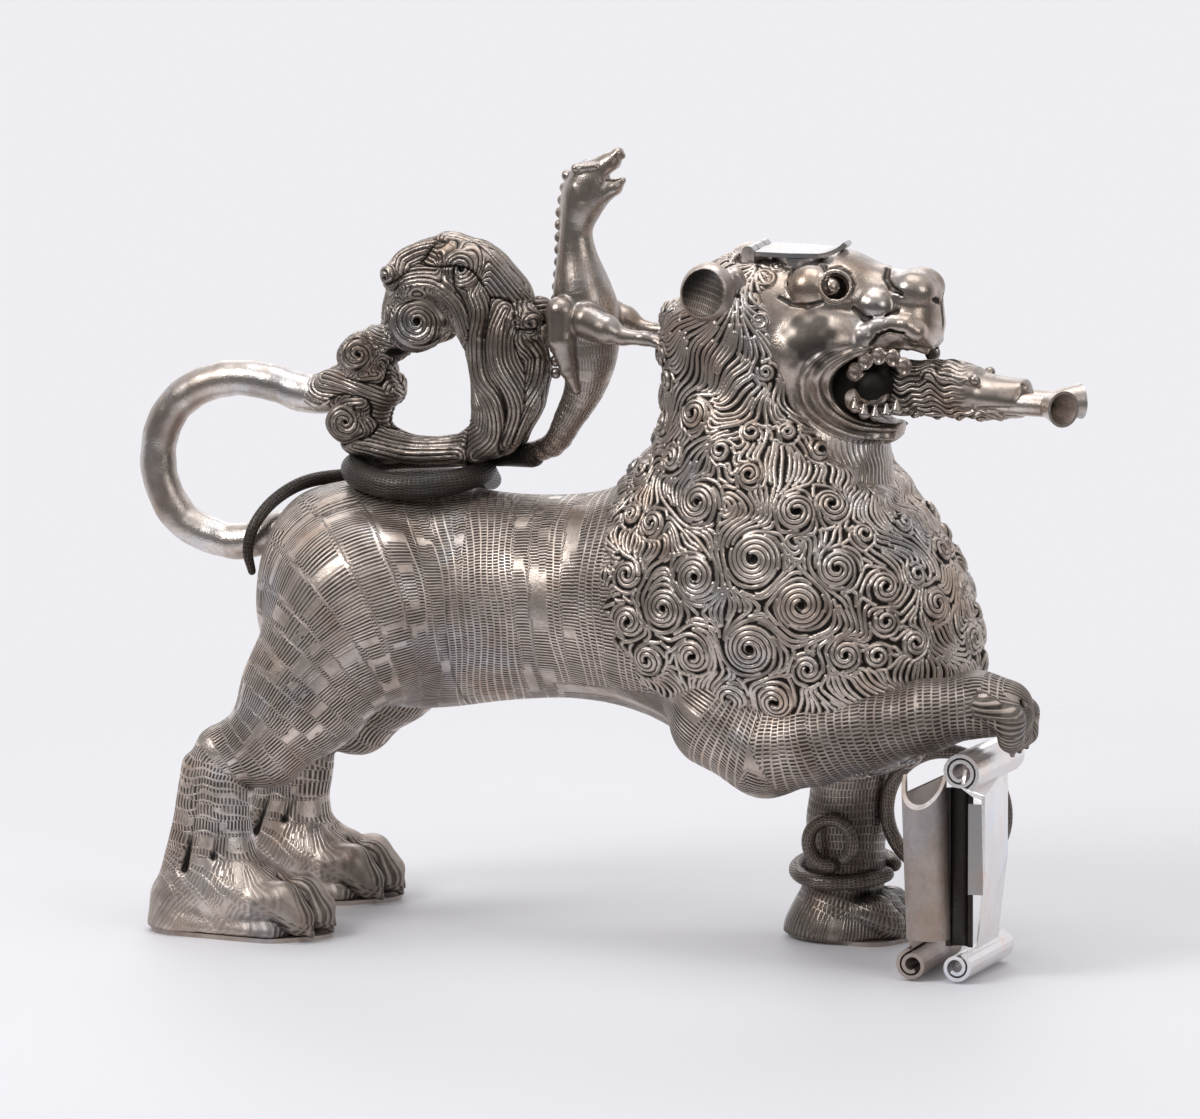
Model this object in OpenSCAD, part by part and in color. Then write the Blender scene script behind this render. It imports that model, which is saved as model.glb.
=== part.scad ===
// Lion aquamanile: a pouring vessel in the shape of a standing lion.
// The lion faces +X, its right side is at -Y, and it stands on the ground at Z = 0.

/* [Vessel] */
// Length of the barrel between the haunch and the chest
barrel_l = 30.5; // [28:0.5:34]
// Height of the belly over the ground
belly_h = 49; // [46:0.5:53]
// Half width of the barrel
barrel_hw = 22; // [20:0.5:24]
// Half width of the haunch
haunch_hw = 25; // [24:0.5:27]
// Half width of the chest under the mane
chest_hw = 31; // [29:0.5:33]
// Half width of the neck where the head is soldered on
neck_hw = 19; // [17:0.5:20]
// Wall of the vessel
wall = 1.6; // [1.2:0.1:2]
// Thickness of the sole plates
sole_t = 1; // [0.8:0.1:1.4]
// Distance of the hind feet from the middle plane
hind_y = 24; // [23:0.5:26]

/* [Tail and wyvern] */
// Diameter of the tail
tail_d = 8; // [7:0.5:8.5]
// Diameter of the wyvern's coiled tail
coil_d = 6; // [5:0.25:6.25]
// Diameter of the serpent wire at the shield
serpent_d = 3.3; // [2.8:0.1:3.5]

/* [Lid] */
// Width of the lid
lid_w = 15; // [13.5:0.5:16]
// Thickness of the lid
lid_t = 1; // [0.8:0.1:1.3]
// Bore of the filling hole
fill_d = 10; // [8:0.5:10.5]
// Diameter of the hinge pin
pin_d = 1.2; // [1:0.1:1.4]
// Radial play of the lid on the pin
pin_play = 0.06; // [0.03:0.01:0.09]

/* [Spout] */
// Outside diameter of each spout pipe
pipe_d = 5; // [4.6:0.1:5.1]
// Bore of each spout pipe
pipe_bore = 2.6; // [2:0.1:3]
// Diameter of each flared mouth
mouth_d = 8; // [7.5:0.25:8.5]

/* [Shield] */
// Width of the shield
shield_w = 29; // [26:1:29]
// Thickness of the shield sheet
sheet_t = 0.8; // [0.6:0.1:1]

/* [Hidden] */

silver = [0.72, 0.69, 0.66];
bright = [0.86, 0.84, 0.83];
dark = [0.45, 0.41, 0.38];

// Clearances: between moving pieces, at soldered seats, and under wires that lie on a skin
move_gap = 0.35;
seat_gap = 0.12;
lie_gap = 0.25;

// Sides of a vessel ring and steps between two stations
ring_n = 26;
ring_k = 2;

// The stations below are drawn for this barrel length and belly height, and moved to the set ones:
// what lies behind the chest goes along X, and what lies over the feet goes up, whole from the knee
drawn_l = 30.5;
drawn_h = 49;
chest_x = -3.5;
foot_z = 10;
knee_z = 45;
rise = belly_h - drawn_h;
function hx(x) = x + (drawn_l - barrel_l) * min(1, max(0, (chest_x - x) / drawn_l));
function hz(z) = z + rise * min(1, max(0, (z - foot_z) / (knee_z - foot_z)));
function to_xz(p) = [for (r = p) [for (k = [0 : len(r) - 1]) k == 0 ? hx(r[k]) : k == 1 ? hz(r[k]) : r[k]]];
function to_xyz(p) = [for (r = p) [for (k = [0 : len(r) - 1]) k == 0 ? hx(r[k]) : k == 2 ? hz(r[k]) : r[k]]];
function to_ring(p) = [for (r = p) [hx(r[0]), hz(r[1]), hx(r[2]), hz(r[3]), r[4]]];
// Longer than the part, for blocks that cut through all of it
far = 300;

// Stations of the vessel: back x, back z, belly x, belly z, half width
rear_rows = to_ring([
    [-77.5, 82, -78, 72, 6],
    [-75, 89.5, -77.5, 61.5, haunch_hw - 10],
    [-69.5, 95, -71.5, 54, haunch_hw - 4],
    [-59, 98, -58, 50, haunch_hw],
    [-46, 98.5, -44, 48.5, haunch_hw]]);
front_rows = to_ring([
    [chest_x - drawn_l, 98, chest_x - drawn_l, 49, barrel_hw + 1],
    [-18.5, 97, -18.5, 51.5, barrel_hw],
    [chest_x, 98, chest_x + 1, 52.5, barrel_hw + 0.5],
    [5, 101, 14, 49.5, (barrel_hw + chest_hw) / 2 - 1],
    [9.5, 108, 39, 38.5, chest_hw - 2.5],
    [12.5, 114, 66, 41, chest_hw],
    [14.5, 121, 85.5, 59, chest_hw - 1],
    [14.5, 127.5, 83.5, 81, chest_hw - 4],
    [15, 134.5, 74, 98.5, neck_hw + 3],
    [17.5, 141, 68, 109, neck_hw]]);
neck_row = front_rows[len(front_rows) - 1];
neck_back = [neck_row[0], 0, neck_row[1]];
neck_front = [neck_row[2], 0, neck_row[3]];
neck_mid = (neck_back + neck_front) / 2;
neck_len = norm(neck_back - neck_front);
neck_tilt = atan2(neck_back[2] - neck_front[2], neck_front[0] - neck_back[0]);

// Hind leg on the right side: x, distance in from the foot line, z, radius, thickness radius
hind_rows = to_xyz([
    [-50, 5, 73, 18.5, 12],
    [-61.5, 3, 54, 14, 11],
    [-70, 1, 42.5, 9.5, 8],
    [-79, 0, 40, 5.5, 5.5],
    [-80, 0, 29, 6.5, 6],
    [-80, 0, 16, 8.5, 7],
    [-88, 0, 7, 7, 8]]);
hind_foot = to_xyz([[-88, 0, 7, 7, 8], [-76, 0, 9, 9, 9], [-69, 0, 8, 7.5, 10]]);
hind_toe_y = 6.3;
hind_toe = to_xyz([[-69, 0, 8, 6.5], [-62, 0, 7.5, 6], [-58, 0, 5.5, 4.8]]);
// Spots of a sole plate in plan: x, distance from the foot line, radius
hind_spots = [[hx(-87.5), 0, 8.5], [hx(-67), 4.5, 7], [hx(-67), -4.5, 7], [hx(-60.5), 0, 6]];

// Right foreleg, raised: x, y, z, radius
raised_y = -20.5;
raised_rows = to_xyz([
    [34, -19, 52, 12],
    [45, -21, 46, 9.8],
    [57, -22, 49, 8.8],
    [69, -22, 52.5, 7.8],
    [82, -21.5, 56.5, 7],
    [93, -21, 60, 6.5],
    [100, raised_y, 59.5, 6.6],
    [97, raised_y, 56, 5.4]]);
raised_toe_y = 5;
raised_toe = to_xyz([[100, 0, 59.5, 4.5], [103.6, 0, 56, 3.8], [103.2, 0, 52.4, 2.9], [101, 0, 51, 1.6]]);

// Left foreleg, standing: x, z, radius, thickness radius
stand_y = 13;
stand_rows = to_xz([
    [55, 52, 10, 9],
    [54, 40, 9, 8.6],
    [53, 26, 8.4, 8.2],
    [52.8, 15, 8.4, 8.4],
    [49, 7, 7, 9]]);
stand_foot = [[49, 7, 7, 9], [58, 6.5, 6.5, 10]];
stand_toe_y = 6.2;
stand_toe = [[58, 0, 6.5, 6], [63.5, 0, 5.5, 5]];
stand_spots = [[50, 0, 9], [60, 5, 6.5], [60, -5, 6.5], [63.5, 0, 5]];

// Tail: x, z; it starts inside the rump
tail_rows = to_xz([[-68, 87], [-73, 86.4], [-81, 82.6], [-88, 82.6], [-97, 87.3], [-102.3, 96], [-102.8, 105],
    [-99, 112.2], [-92.5, 117], [-84.5, 119], [-76.3, 118.5], [-68, 116.8]]);

// Tail tuft, a ring of locks: x, z, radius, thickness radius
tuft_rows = to_xz([
    [-66, 116.8, 4.6, 5],
    [-60, 118, 6.5, 7],
    [-55, 125, 6.3, 8],
    [-50.5, 133, 5.6, 8],
    [-45, 141, 6, 8],
    [-38.5, 147, 6.9, 8],
    [-30, 147.3, 7, 8],
    [-23.5, 142.5, 7.5, 8.5],
    [-20.8, 133, 8.3, 9],
    [-20.8, 123, 8.3, 9],
    [-24, 113.5, 7, 7],
    [-31, 106.3, 4.4, 5],
    [-40, 104.9, 3.6, 4.5],
    [-49, 105.7, 4.5, 5.5],
    [-57, 109.8, 6.3, 7],
    [-60, 118, 6.5, 7]]);

// Wyvern: x, y, z, radius, thickness radius
wyvern_rows = to_xyz([
    [-20.5, 6.2, 105, 1.8, 1.8],
    [-11, 1.8, 108.8, 3.2, 3.2],
    [-6, 0, 116.5, 4.9, 5],
    [-3.6, 0, 128, 7.4, 7],
    [-4.6, 0, 140.5, 7.3, 7],
    [-5.2, 0, 149, 5.2, 5],
    [-5.1, 0, 156, 3.9, 3.9],
    [-3.6, 0, 163.5, 5.6, 5],
    [-1.8, 0, 167.3, 5.4, 4.6]]);
wyvern_beak = to_xyz([[-0.5, 0, 168.5, 3.9, 3.2], [3, 0, 172.2, 1.8, 1.6], [4.9, 0, 174.4, 0.7, 0.7]]);
wyvern_jaw = to_xyz([[0.2, 0, 165.8, 2.6, 2.6], [3.6, 0, 167.6, 1.4, 1.6], [5.2, 0, 168.9, 0.6, 0.7]]);
wyvern_leg_y = 6.2;
wyvern_leg = to_xyz([[-1, 0, 136, 4.4], [4.5, 0, 137.5, 3], [8.5, 0, 134.8, 1.5], [12.5, 0, 136.2, 1.4],
    [16.5, 0, 134.6, 1.2]]);
wing_y = 7.4;
wing_rows = to_xyz([[-6.5, 0, 143.5, 4], [-8.5, 0.4, 138, 4.4], [-9.5, 0.2, 131, 3.8], [-9.2, 0, 124.5, 2.4],
    [-8, -0.6, 119.5, 1.1]]);

// Coil of the wyvern's tail on the back: centre, half axes, heights over one turn
coil_x = -41.8;
coil_ax = 14.7;
coil_ay = 12;
coil_turn = [55, 375];
coil_steps = 40;
coil_r = coil_d / 2;
// Height of the coil's middle on the back, its sag over the back, and the climb to the wyvern's tail
coil_base = 99.5;
coil_sag = 2;
coil_climb = 3.9;
// Where the turn begins to draw in to the tip, in degrees, and how far it swings out
coil_thin = 290;
coil_swing = 2.5;
coil_lead = to_xyz([[-17, 4.2, 105.3, 2.8], [-24.5, 8.8, 104.6, 2.9]]);
// Tip of the coil, which goes round the root of the tail: x, y, z, radius
coil_tip = to_xyz([[-29.5, 13, 97.8, coil_r * 0.75], [-40, 17, 97.3, 2.1], [-53, 15, 97, 1.8],
    [-63.5, 9.5, 97.4, 1.6], [-70, 3, 96.6, 1.5], [-75, -2.6, 93.2, 1.4], [-78.4, -6, 88, 1.3],
    [-79.6, -6.8, 82.5, 1.2], [-78.9, -6.2, 77.8, 0.9]]);

// Head: x, y, z, radius, thickness radius
skull = [37, 0, 136.7 + rise, 16.6, 17];
cheek = [50, 0, 133.5 + rise, 12.5, 17];
brow = [55, 0, 145.5 + rise, 8.6, 12];
nose = [73, 0, 145 + rise, 5.6, 6.5];
lip = [73.5, 0, 139.5 + rise, 6, 8.5];
jaw_hinge = [47, 0, 124 + rise, 9, 14];
chin = [66.5, 0, 116.6 + rise, 3.4, 6];
mouth_at = [68, 0, 126.2 + rise];
mouth_r = [12.5, 30, 7.9];
plug_r = [8.5, 12.2, 7.2];
plug_at = mouth_at + [-5.5, 0, 0];
// Teeth: radius, spacing, and places of the upper and lower rows against the mouth
tooth_r = [1.5, 1.4];
tooth_y = 2.6;
tooth_at = [[-0.5, 4.2, -0.3], [-2, -5.6, 0.4]];
// Ears: centre and root against the skull, and radii of the cup and its hollow
ear_at = [-7, 15.5, 10.3];
ear_root = [-3, 12, 6.3];
ear_root_r = 4;
ear_r = [6.2, 4.5, 7.4];
ear_hollow_at = [-1, 4.2, 0.8];
ear_hollow_r = [5, 5.2, 6.2];

// Lid and hinge
hinge_x = 36;
lid_z = skull[2] + skull[3] + 0.5;
hinge_z = lid_z + lid_t / 2;
knuckle_r = pin_d / 2 + 0.85;
lid_x0 = hinge_x + knuckle_r + move_gap;
lid_flat_x = 52;
lift_r = 7;
lift_turn = 50;
lid_knuckle_l = 5;
fixed_knuckle_l = 3.4;
pin_l = lid_knuckle_l + 2 * (move_gap + fixed_knuckle_l);
rim_x = 46;
rim_r = fill_d / 2 + 1.1;
rim_top = lid_z - move_gap;
rim_h = 5;
recess_z = rim_top - 0.7;
bracket_h = 5.2;

// Spout: two pipes side by side
spout_z = mouth_at[2] - 3;
pipe_y = 2.6;
pipe_x0 = 54;
pipe_x1 = 103.5;
splay = 40;
bell_l = 6;
spout_front_x = pipe_x1 + bell_l * cos(splay) + mouth_d / 2 * sin(splay);
// Beast head on the pipes: x, height over the pipes, radius, thickness radius
mask_rows = [for (r = [[64, 1.3, 6.5, 7], [70, 1.6, 8.2, 8.5], [76.5, 1.4, 8.8, 9], [83.5, 1.2, 7.8, 8],
    [89.5, 0.8, 6.3, 6.5], [94.5, 0.2, 4.6, 6]]) [r[0], spout_z + r[1], r[2], r[3]]];
mask_brow = [85.5, spout_z + 5.4, 3.6, 5.5];
mask_snout = [95.2, spout_z + 2.8, 2.6, 4];
mask_beard = [80, spout_z - 6.7, 3.6, 5];
mask_chin = [91, spout_z - 4.2, 2.6, 4];

// Shield: near edge, plate places, scroll sizes
shield_y0 = -34;
shield_y1 = shield_y0 + shield_w;
shield_x = 95;
shield_top = hz(45);
scroll_r = 3.7;
front_scroll_x = 93.4;
rear_scroll_x = 82.3;
top_scroll = [94.8, shield_top + 1.8];
top_scroll_r = 4.6;
// Width of the near edge's turned strip, and where it starts
turn_w = 3.4;
turn_z = 20;
foot_gap = 6.8;
gutter_x = 85.3;
gutter_r = 4.9;
gutter_y = shield_y0 + gutter_r;
strap_r = (shield_x - sheet_t / 2 - gutter_x - gutter_r) / 2;

// Serpent at the shield and the standing leg
serpent_r = serpent_d / 2;
ring_at = [76.7, 10, hz(29.6)];
ring_r = 13.6;
band_at = [52.6, stand_y, 15.4];
band_a = 8.9 + serpent_r + lie_gap;
curl_at = [52.6, stand_y - 8.6 - serpent_r - lie_gap, 22.8];
curl_r = 5.4;

// The middle of the whole length goes to the origin
tail_back_x = hx(-102.9) - tail_d / 2;
shift_x = -(tail_back_x + spout_front_x) / 2;

function blend(p, i, t) =
    let (n = len(p), a = p[max(i - 1, 0)], b = p[i], c = p[min(i + 1, n - 1)], d = p[min(i + 2, n - 1)])
    0.5 * (2 * b + (c - a) * t + (2 * a - 5 * b + 4 * c - d) * t * t + (3 * b - a - 3 * c + d) * t * t * t);
function smooth(p, k) =
    concat([for (i = [0 : len(p) - 2]) for (j = [0 : k - 1]) blend(p, i, j / k)], [p[len(p) - 1]]);

// One ring of the vessel, drawn in by g
function vessel_ring(s, g) =
    let (d = [s[0], 0, s[1]], v = [s[2], 0, s[3]], h = (d - v) / 2, hl = norm(h))
    [for (j = [0 : ring_n - 1]) let (q = 360 * j / ring_n)
        (d + v) / 2 + h * ((hl - g) / hl) * cos(q) + [0, (s[4] - g) * sin(q), 0]];

vessel_rows = smooth(concat(rear_rows, front_rows), ring_k);
seam_i = len(rear_rows) * ring_k;
last_i = len(vessel_rows) - 1;

function flat1(l) = [for (a = l) for (b = a) b];
// Skin triangles over rings i0 to i1, with points numbered from o; turned round for an inner skin
function skin(rings, n, o, turned) = [for (i = [0 : rings - 2]) for (j = [0 : n - 1])
    let (j2 = (j + 1) % n, a = o + i * n + j, b = o + i * n + j2, c = b + n, d = a + n)
    for (f = turned ? [[a, c, b], [a, d, c]] : [[a, b, c], [a, c, d]]) f];
function fan(n, o, tip, turned) = [for (j = [0 : n - 1]) let (j2 = (j + 1) % n)
    turned ? [tip, o + j2, o + j] : [tip, o + j, o + j2]];
function annulus(n, o, p, turned) = [for (j = [0 : n - 1]) let (j2 = (j + 1) % n)
    for (f = turned ? [[o + j, p + j2, o + j2], [o + j, p + j, p + j2]]
        : [[o + j, o + j2, p + j2], [o + j, p + j2, p + j]]) f];
function middle(r) = [for (k = [0 : 2]) [for (p = r) p[k]] * [for (p = r) 1] / len(r)];

// The whole vessel as a solid, used to trim what is soldered on
module vessel_solid() {
    rings = [for (s = vessel_rows) vessel_ring(s, 0)];
    m = len(rings);
    points = concat(flat1(rings), [middle(rings[0]), middle(rings[m - 1])]);
    polyhedron(points, concat(skin(m, ring_n, 0, false), fan(ring_n, 0, m * ring_n, true),
        fan(ring_n, (m - 1) * ring_n, m * ring_n + 1, false)));
}

// Tube through rows of x, y, z, radius, with its ends closed; side vectors stay level where they can
function unit(v) = v / norm(v);
function path_dir(p, i) =
    let (a = p[max(i - 1, 0)], b = p[min(i + 1, len(p) - 1)]) unit([b[0] - a[0], b[1] - a[1], b[2] - a[2]]);
module tube(p, n, side) {
    m = len(p);
    rings = [for (i = [0 : m - 1]) let (t = path_dir(p, i), u = unit(side - t * (side * t)), w = cross(u, t))
        [for (j = [0 : n - 1]) let (q = 360 * j / n)
            [p[i][0], p[i][1], p[i][2]] + p[i][3] * (u * cos(q) + w * sin(q))]];
    points = concat(flat1(rings), [middle(rings[0]), middle(rings[m - 1])]);
    polyhedron(points, concat(skin(m, n, 0, false), fan(n, 0, m * n, true),
        fan(n, (m - 1) * n, m * n + 1, false)));
}
// Least gap of a tube to itself, over points that are more than skip steps apart
function self_gap(p, skip) = min([for (i = [0 : len(p) - 1 - skip]) for (j = [i + skip : len(p) - 1])
    norm([p[i][0] - p[j][0], p[i][1] - p[j][1], p[i][2] - p[j][2]]) - p[i][3] - p[j][3]]);

// Chains of balls: x, y, z, radius and, for a flattened limb, thickness radius along Y
module ball(r, n) {
    translate([r[0], r[1], r[2]])
        scale([1, len(r) > 4 ? r[4] / r[3] : 1, 1])
            sphere(r = r[3], $fn = n);
}
module chain(rows, n) {
    for (i = [0 : len(rows) - 2])
        hull() {
            ball(rows[i], n);
            ball(rows[i + 1], n);
        }
}
function side_row(r, y, s) =
    len(r) > 4 ? [r[0], s * (y - r[1]), r[2], r[3], r[4]] : [r[0], s * (y + r[1]), r[2], r[3]];

module place() {
    translate([shift_x, 0, 0])
        children();
}
module below(z) {
    translate([-far / 2, -far / 2, z - far])
        cube(far);
}

module hindquarters_shell() {
    rows = [for (i = [0 : seam_i]) vessel_rows[i]];
    m = len(rows);
    outer = [for (s = rows) vessel_ring(s, 0)];
    inner = [for (i = [1 : m - 1]) vessel_ring(rows[i], wall)];
    o2 = m * ring_n;
    tips = o2 + (m - 1) * ring_n;
    points = concat(flat1(outer), flat1(inner), [middle(outer[0]), middle(inner[0])]);
    color(silver)
        place()
            polyhedron(points, concat(skin(m, ring_n, 0, false), skin(m - 1, ring_n, o2, true),
                fan(ring_n, 0, tips, true), fan(ring_n, o2, tips + 1, false),
                annulus(ring_n, (m - 1) * ring_n, o2 + (m - 2) * ring_n, false)));
}

module forequarters_shell() {
    rows = [for (i = [seam_i : last_i]) vessel_rows[i]];
    m = len(rows);
    outer = [for (s = rows) vessel_ring(s, 0)];
    inner = [for (s = rows) vessel_ring(s, wall)];
    o2 = m * ring_n;
    color(silver)
        place()
            polyhedron(concat(flat1(outer), flat1(inner)), concat(skin(m, ring_n, 0, false),
                skin(m, ring_n, o2, true), annulus(ring_n, 0, o2, true),
                annulus(ring_n, (m - 1) * ring_n, o2 + (m - 1) * ring_n, false)));
}

function grown(r, g) = [r[0], r[1], r[2], r[3] + g, r[4] + g];
module head_core(g) {
    pairs = [[skull, cheek], [skull, brow], [cheek, brow], [brow, nose], [cheek, lip], [nose, lip],
        [skull, jaw_hinge], [jaw_hinge, chin], [cheek, jaw_hinge]];
    for (p = pairs)
        hull() {
            ball(grown(p[0], g), 16);
            ball(grown(p[1], g), 16);
        }
    // The head flows into the outline of the neck
    hull() {
        neck_disc(g);
        ball(grown(skull, g), 16);
        ball(grown(jaw_hinge, g), 16);
    }
}
module neck_disc(g) {
    translate(neck_mid)
        rotate([0, neck_tilt, 0])
            scale([neck_len / 2 + g, neck_hw + g, 1])
                translate([0, 0, -0.5])
                    cylinder(r = 1, h = 0.6, $fn = ring_n);
}
module neck_side(g) {
    translate(neck_back)
        rotate([0, neck_tilt, 0])
            translate([-far / 2, -far / 2, -far + g])
                cube(far);
}
module mouth_cut() {
    translate(mouth_at)
        scale(mouth_r)
            sphere(r = 1, $fn = 28);
}
module lid_recess() {
    translate([hinge_x - 12, -lid_w / 2 - 0.5, recess_z])
        cube([50, lid_w + 1, 20]);
}
module bracket_seat(g) {
    translate([hinge_x - knuckle_r - g, -pin_l / 2 - g, hinge_z - bracket_h - g])
        cube([2 * (knuckle_r + g), pin_l + 2 * g, bracket_h]);
}
module pipe_space(g) {
    for (s = [-1, 1])
        translate([pipe_x0 - 10, s * pipe_y, spout_z])
            rotate([0, 90, 0])
                cylinder(r = pipe_d / 2 + g, h = pipe_x1 - pipe_x0 + 10, $fn = 28);
}

module head_shell() {
    color(silver)
        place()
            difference() {
                head_core(0);
                difference() {
                    head_core(-wall);
                    // The bracket's seat keeps a floor under it
                    translate([hinge_x - 4.5, -pin_l / 2 - 2.8, hinge_z - bracket_h - 2.2])
                        cube([9, pin_l + 5.6, 20]);
                    translate([rim_x, 0, rim_top - rim_h])
                        cylinder(r = rim_r + 1.5, h = 20, $fn = 34);
                }
                neck_side(0);
                mouth_cut();
                lid_recess();
                bracket_seat(seat_gap);
                translate([rim_x, 0, rim_top - rim_h - 12])
                    cylinder(r = rim_r + seat_gap, h = 40, $fn = 40);
                wyvern_feet();
            }
}

// Cup of an ear; s is -1 for the right one
module ear_cup(s) {
    base = [skull[0], 0, skull[2]];
    side = [[1, 0, 0], [0, s, 0], [0, 0, 1]];
    difference() {
        hull() {
            translate(base + side * ear_at)
                scale(ear_r)
                    sphere(r = 1, $fn = 20);
            translate(base + side * ear_root)
                sphere(r = ear_root_r, $fn = 16);
        }
        translate(base + side * (ear_at + ear_hollow_at))
            scale(ear_hollow_r)
                sphere(r = 1, $fn = 20);
        head_core(0);
        neck_side(0);
    }
}
module right_ear() {
    color(silver)
        place()
            ear_cup(-1);
}
module left_ear() {
    color(silver)
        place()
            ear_cup(1);
}

// Two rows of teeth, grown by g
module teeth(g, n) {
    for (k = [0, 1])
        for (q = [-2 : 2])
            translate(mouth_at + [tooth_at[k][0] - abs(q), tooth_y * q, tooth_at[k][1] + tooth_at[k][2] * abs(q)])
                sphere(r = tooth_r[k] + g, $fn = n);
}
// Plug that closes the throat, with the teeth
module mouth_plug() {
    color(dark)
        place()
            difference() {
                union() {
                    intersection() {
                        translate(plug_at)
                            scale(plug_r)
                                sphere(r = 1, $fn = 20);
                        mouth_cut();
                        head_core(-0.6);
                    }
                    teeth(0, 8);
                }
                pipe_space(seat_gap);
            }
}

module hind_leg(s) {
    difference() {
        union() {
            chain([for (r = hind_rows) side_row(r, hind_y, s)], 16);
            chain([for (r = hind_foot) side_row(r, hind_y, s)], 16);
            for (t = [-1, 0, 1])
                chain([for (r = hind_toe) [r[0] - abs(t) * 1.5, s * (hind_y + t * hind_toe_y), r[2], r[3]]], 10);
        }
        vessel_solid();
        below(sole_t);
    }
}
module right_hind_leg() {
    color(silver)
        place()
            hind_leg(-1);
}
module left_hind_leg() {
    color(silver)
        place()
            hind_leg(1);
}

module right_foreleg() {
    color(silver)
        place()
            difference() {
                union() {
                    chain(raised_rows, 16);
                    for (t = [-1, 0, 1])
                        chain([for (r = raised_toe) [r[0], raised_y + t * raised_toe_y, r[2], r[3]]], 10);
                }
                vessel_solid();
                translate([top_scroll[0], shield_y0 - 5, top_scroll[1]])
                    rotate([-90, 0, 0])
                        cylinder(r = top_scroll_r + seat_gap, h = shield_w + 10, $fn = 36);
            }
}

module left_foreleg() {
    color(silver)
        place()
            difference() {
                union() {
                    chain([for (r = stand_rows) [r[0], stand_y, r[1], r[2], r[3]]], 16);
                    chain([for (r = stand_foot) [r[0], stand_y, r[1], r[2], r[3]]], 16);
                    for (t = [-1, 0, 1])
                        chain([for (r = stand_toe) [r[0] - abs(t) * 1.2, stand_y + t * stand_toe_y, r[2], r[3]]], 10);
                }
                vessel_solid();
                below(sole_t);
            }
}

// Sole plates: heel, middle and toe circles in plan
module sole(spots, y) {
    linear_extrude(sole_t)
        hull()
            for (c = spots)
                translate([c[0], y + c[1]])
                    circle(r = c[2], $fn = 40);
}
module right_hind_sole() {
    color(dark)
        place()
            sole(hind_spots, -hind_y);
}
module left_hind_sole() {
    color(dark)
        place()
            sole(hind_spots, hind_y);
}
module left_fore_sole() {
    color(dark)
        place()
            sole(stand_spots, stand_y);
}

tail_path = [for (r = smooth(tail_rows, 2)) [r[0], 0, r[1], tail_d / 2]];
module tail_body() {
    chain(tail_path, 10);
}
module tail() {
    color(silver)
        place()
            difference() {
                tail_body();
                vessel_solid();
            }
}
module tuft_body() {
    chain([for (r = tuft_rows) [r[0], 0, r[1], r[2], r[3]]], 12);
}
module tail_tuft() {
    color(silver)
        place()
            difference() {
                tuft_body();
                tail_body();
                tube(coil_path, 10, [0, 0, 1]);
            }
}

// Coil: one turn from the wyvern's side round to the right end again, then the thin tip
function coil_z(q) = hz(coil_base) + coil_sag * cos(q) * cos(q)
    + coil_climb * max(0, cos((q - coil_turn[0]) * 0.72));
coil_points = [for (i = [0 : coil_steps])
    let (q = coil_turn[0] + (coil_turn[1] - coil_turn[0]) * i / coil_steps,
        w = max(0, (q - coil_thin) / (coil_turn[1] - coil_thin)))
    [hx(coil_x + coil_ax * cos(q)), (coil_ay + coil_swing * w) * sin(q), coil_z(q), coil_r * (1 - 0.22 * w)]];
coil_path = concat(smooth(coil_lead, 2), coil_points, smooth(coil_tip, 3));
module wyvern_tail_coil() {
    echo(coil_least_gap = self_gap(coil_path, 9));
    color(silver)
        place()
            tube(coil_path, 10, [0, 0, 1]);
}
module wyvern_core() {
    chain(wyvern_rows, 12);
    chain(wyvern_beak, 10);
    chain(wyvern_jaw, 10);
}
module wyvern_body() {
    color(bright)
        place()
            difference() {
                wyvern_core();
                tuft_body();
                vessel_solid();
                tube(coil_path, 10, [0, 0, 1]);
            }
}
module wyvern_wing(s) {
    difference() {
        chain([for (r = smooth(wing_rows, 2)) [r[0], s * (wing_y + r[1]), r[2], r[3], r[3] * 0.45]], 14);
        wyvern_core();
        tuft_body();
    }
}
module wyvern_right_wing() {
    color(bright)
        place()
            wyvern_wing(-1);
}
module wyvern_left_wing() {
    color(bright)
        place()
            wyvern_wing(1);
}
module wyvern_limb(s) {
    chain([for (r = smooth(wyvern_leg, 2)) [r[0], s * (wyvern_leg_y + r[1]), r[2], r[3]]], 12);
}
// Room for the wyvern's claws in the back of the head
module wyvern_feet() {
    wyvern_limb(-1);
    wyvern_limb(1);
}
module wyvern_right_leg() {
    color(bright)
        place()
            difference() {
                wyvern_limb(-1);
                wyvern_core();
                vessel_solid();
                wyvern_wing(-1);
            }
}
module wyvern_left_leg() {
    color(bright)
        place()
            difference() {
                wyvern_limb(1);
                wyvern_core();
                vessel_solid();
                wyvern_wing(1);
            }
}

module spout_mask() {
    color(silver)
        place()
            difference() {
                union() {
                    chain([for (r = mask_rows) [r[0], 0, r[1], r[2], r[3]]], 14);
                    hull() {
                        ball([mask_rows[2][0], 0, mask_rows[2][1], 8, 8], 14);
                        ball([mask_brow[0], 0, mask_brow[1], mask_brow[2], mask_brow[3]], 14);
                    }
                    hull() {
                        ball([mask_brow[0], 0, mask_brow[1], mask_brow[2], mask_brow[3]], 14);
                        ball([mask_snout[0], 0, mask_snout[1], mask_snout[2], mask_snout[3]], 14);
                    }
                    hull() {
                        ball([mask_rows[2][0], 0, mask_rows[2][1], 8, 8], 14);
                        ball([mask_beard[0], 0, mask_beard[1], mask_beard[2], mask_beard[3]], 14);
                    }
                    hull() {
                        ball([mask_beard[0], 0, mask_beard[1], mask_beard[2], mask_beard[3]], 14);
                        ball([mask_chin[0], 0, mask_chin[1], mask_chin[2], mask_chin[3]], 14);
                    }
                }
                pipe_space(seat_gap);
                head_core(0);
                translate(plug_at)
                    scale(plug_r + [0.1, 0.1, 0.1])
                        sphere(r = 1, $fn = 24);
                teeth(0.1, 12);
            }
}

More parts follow.
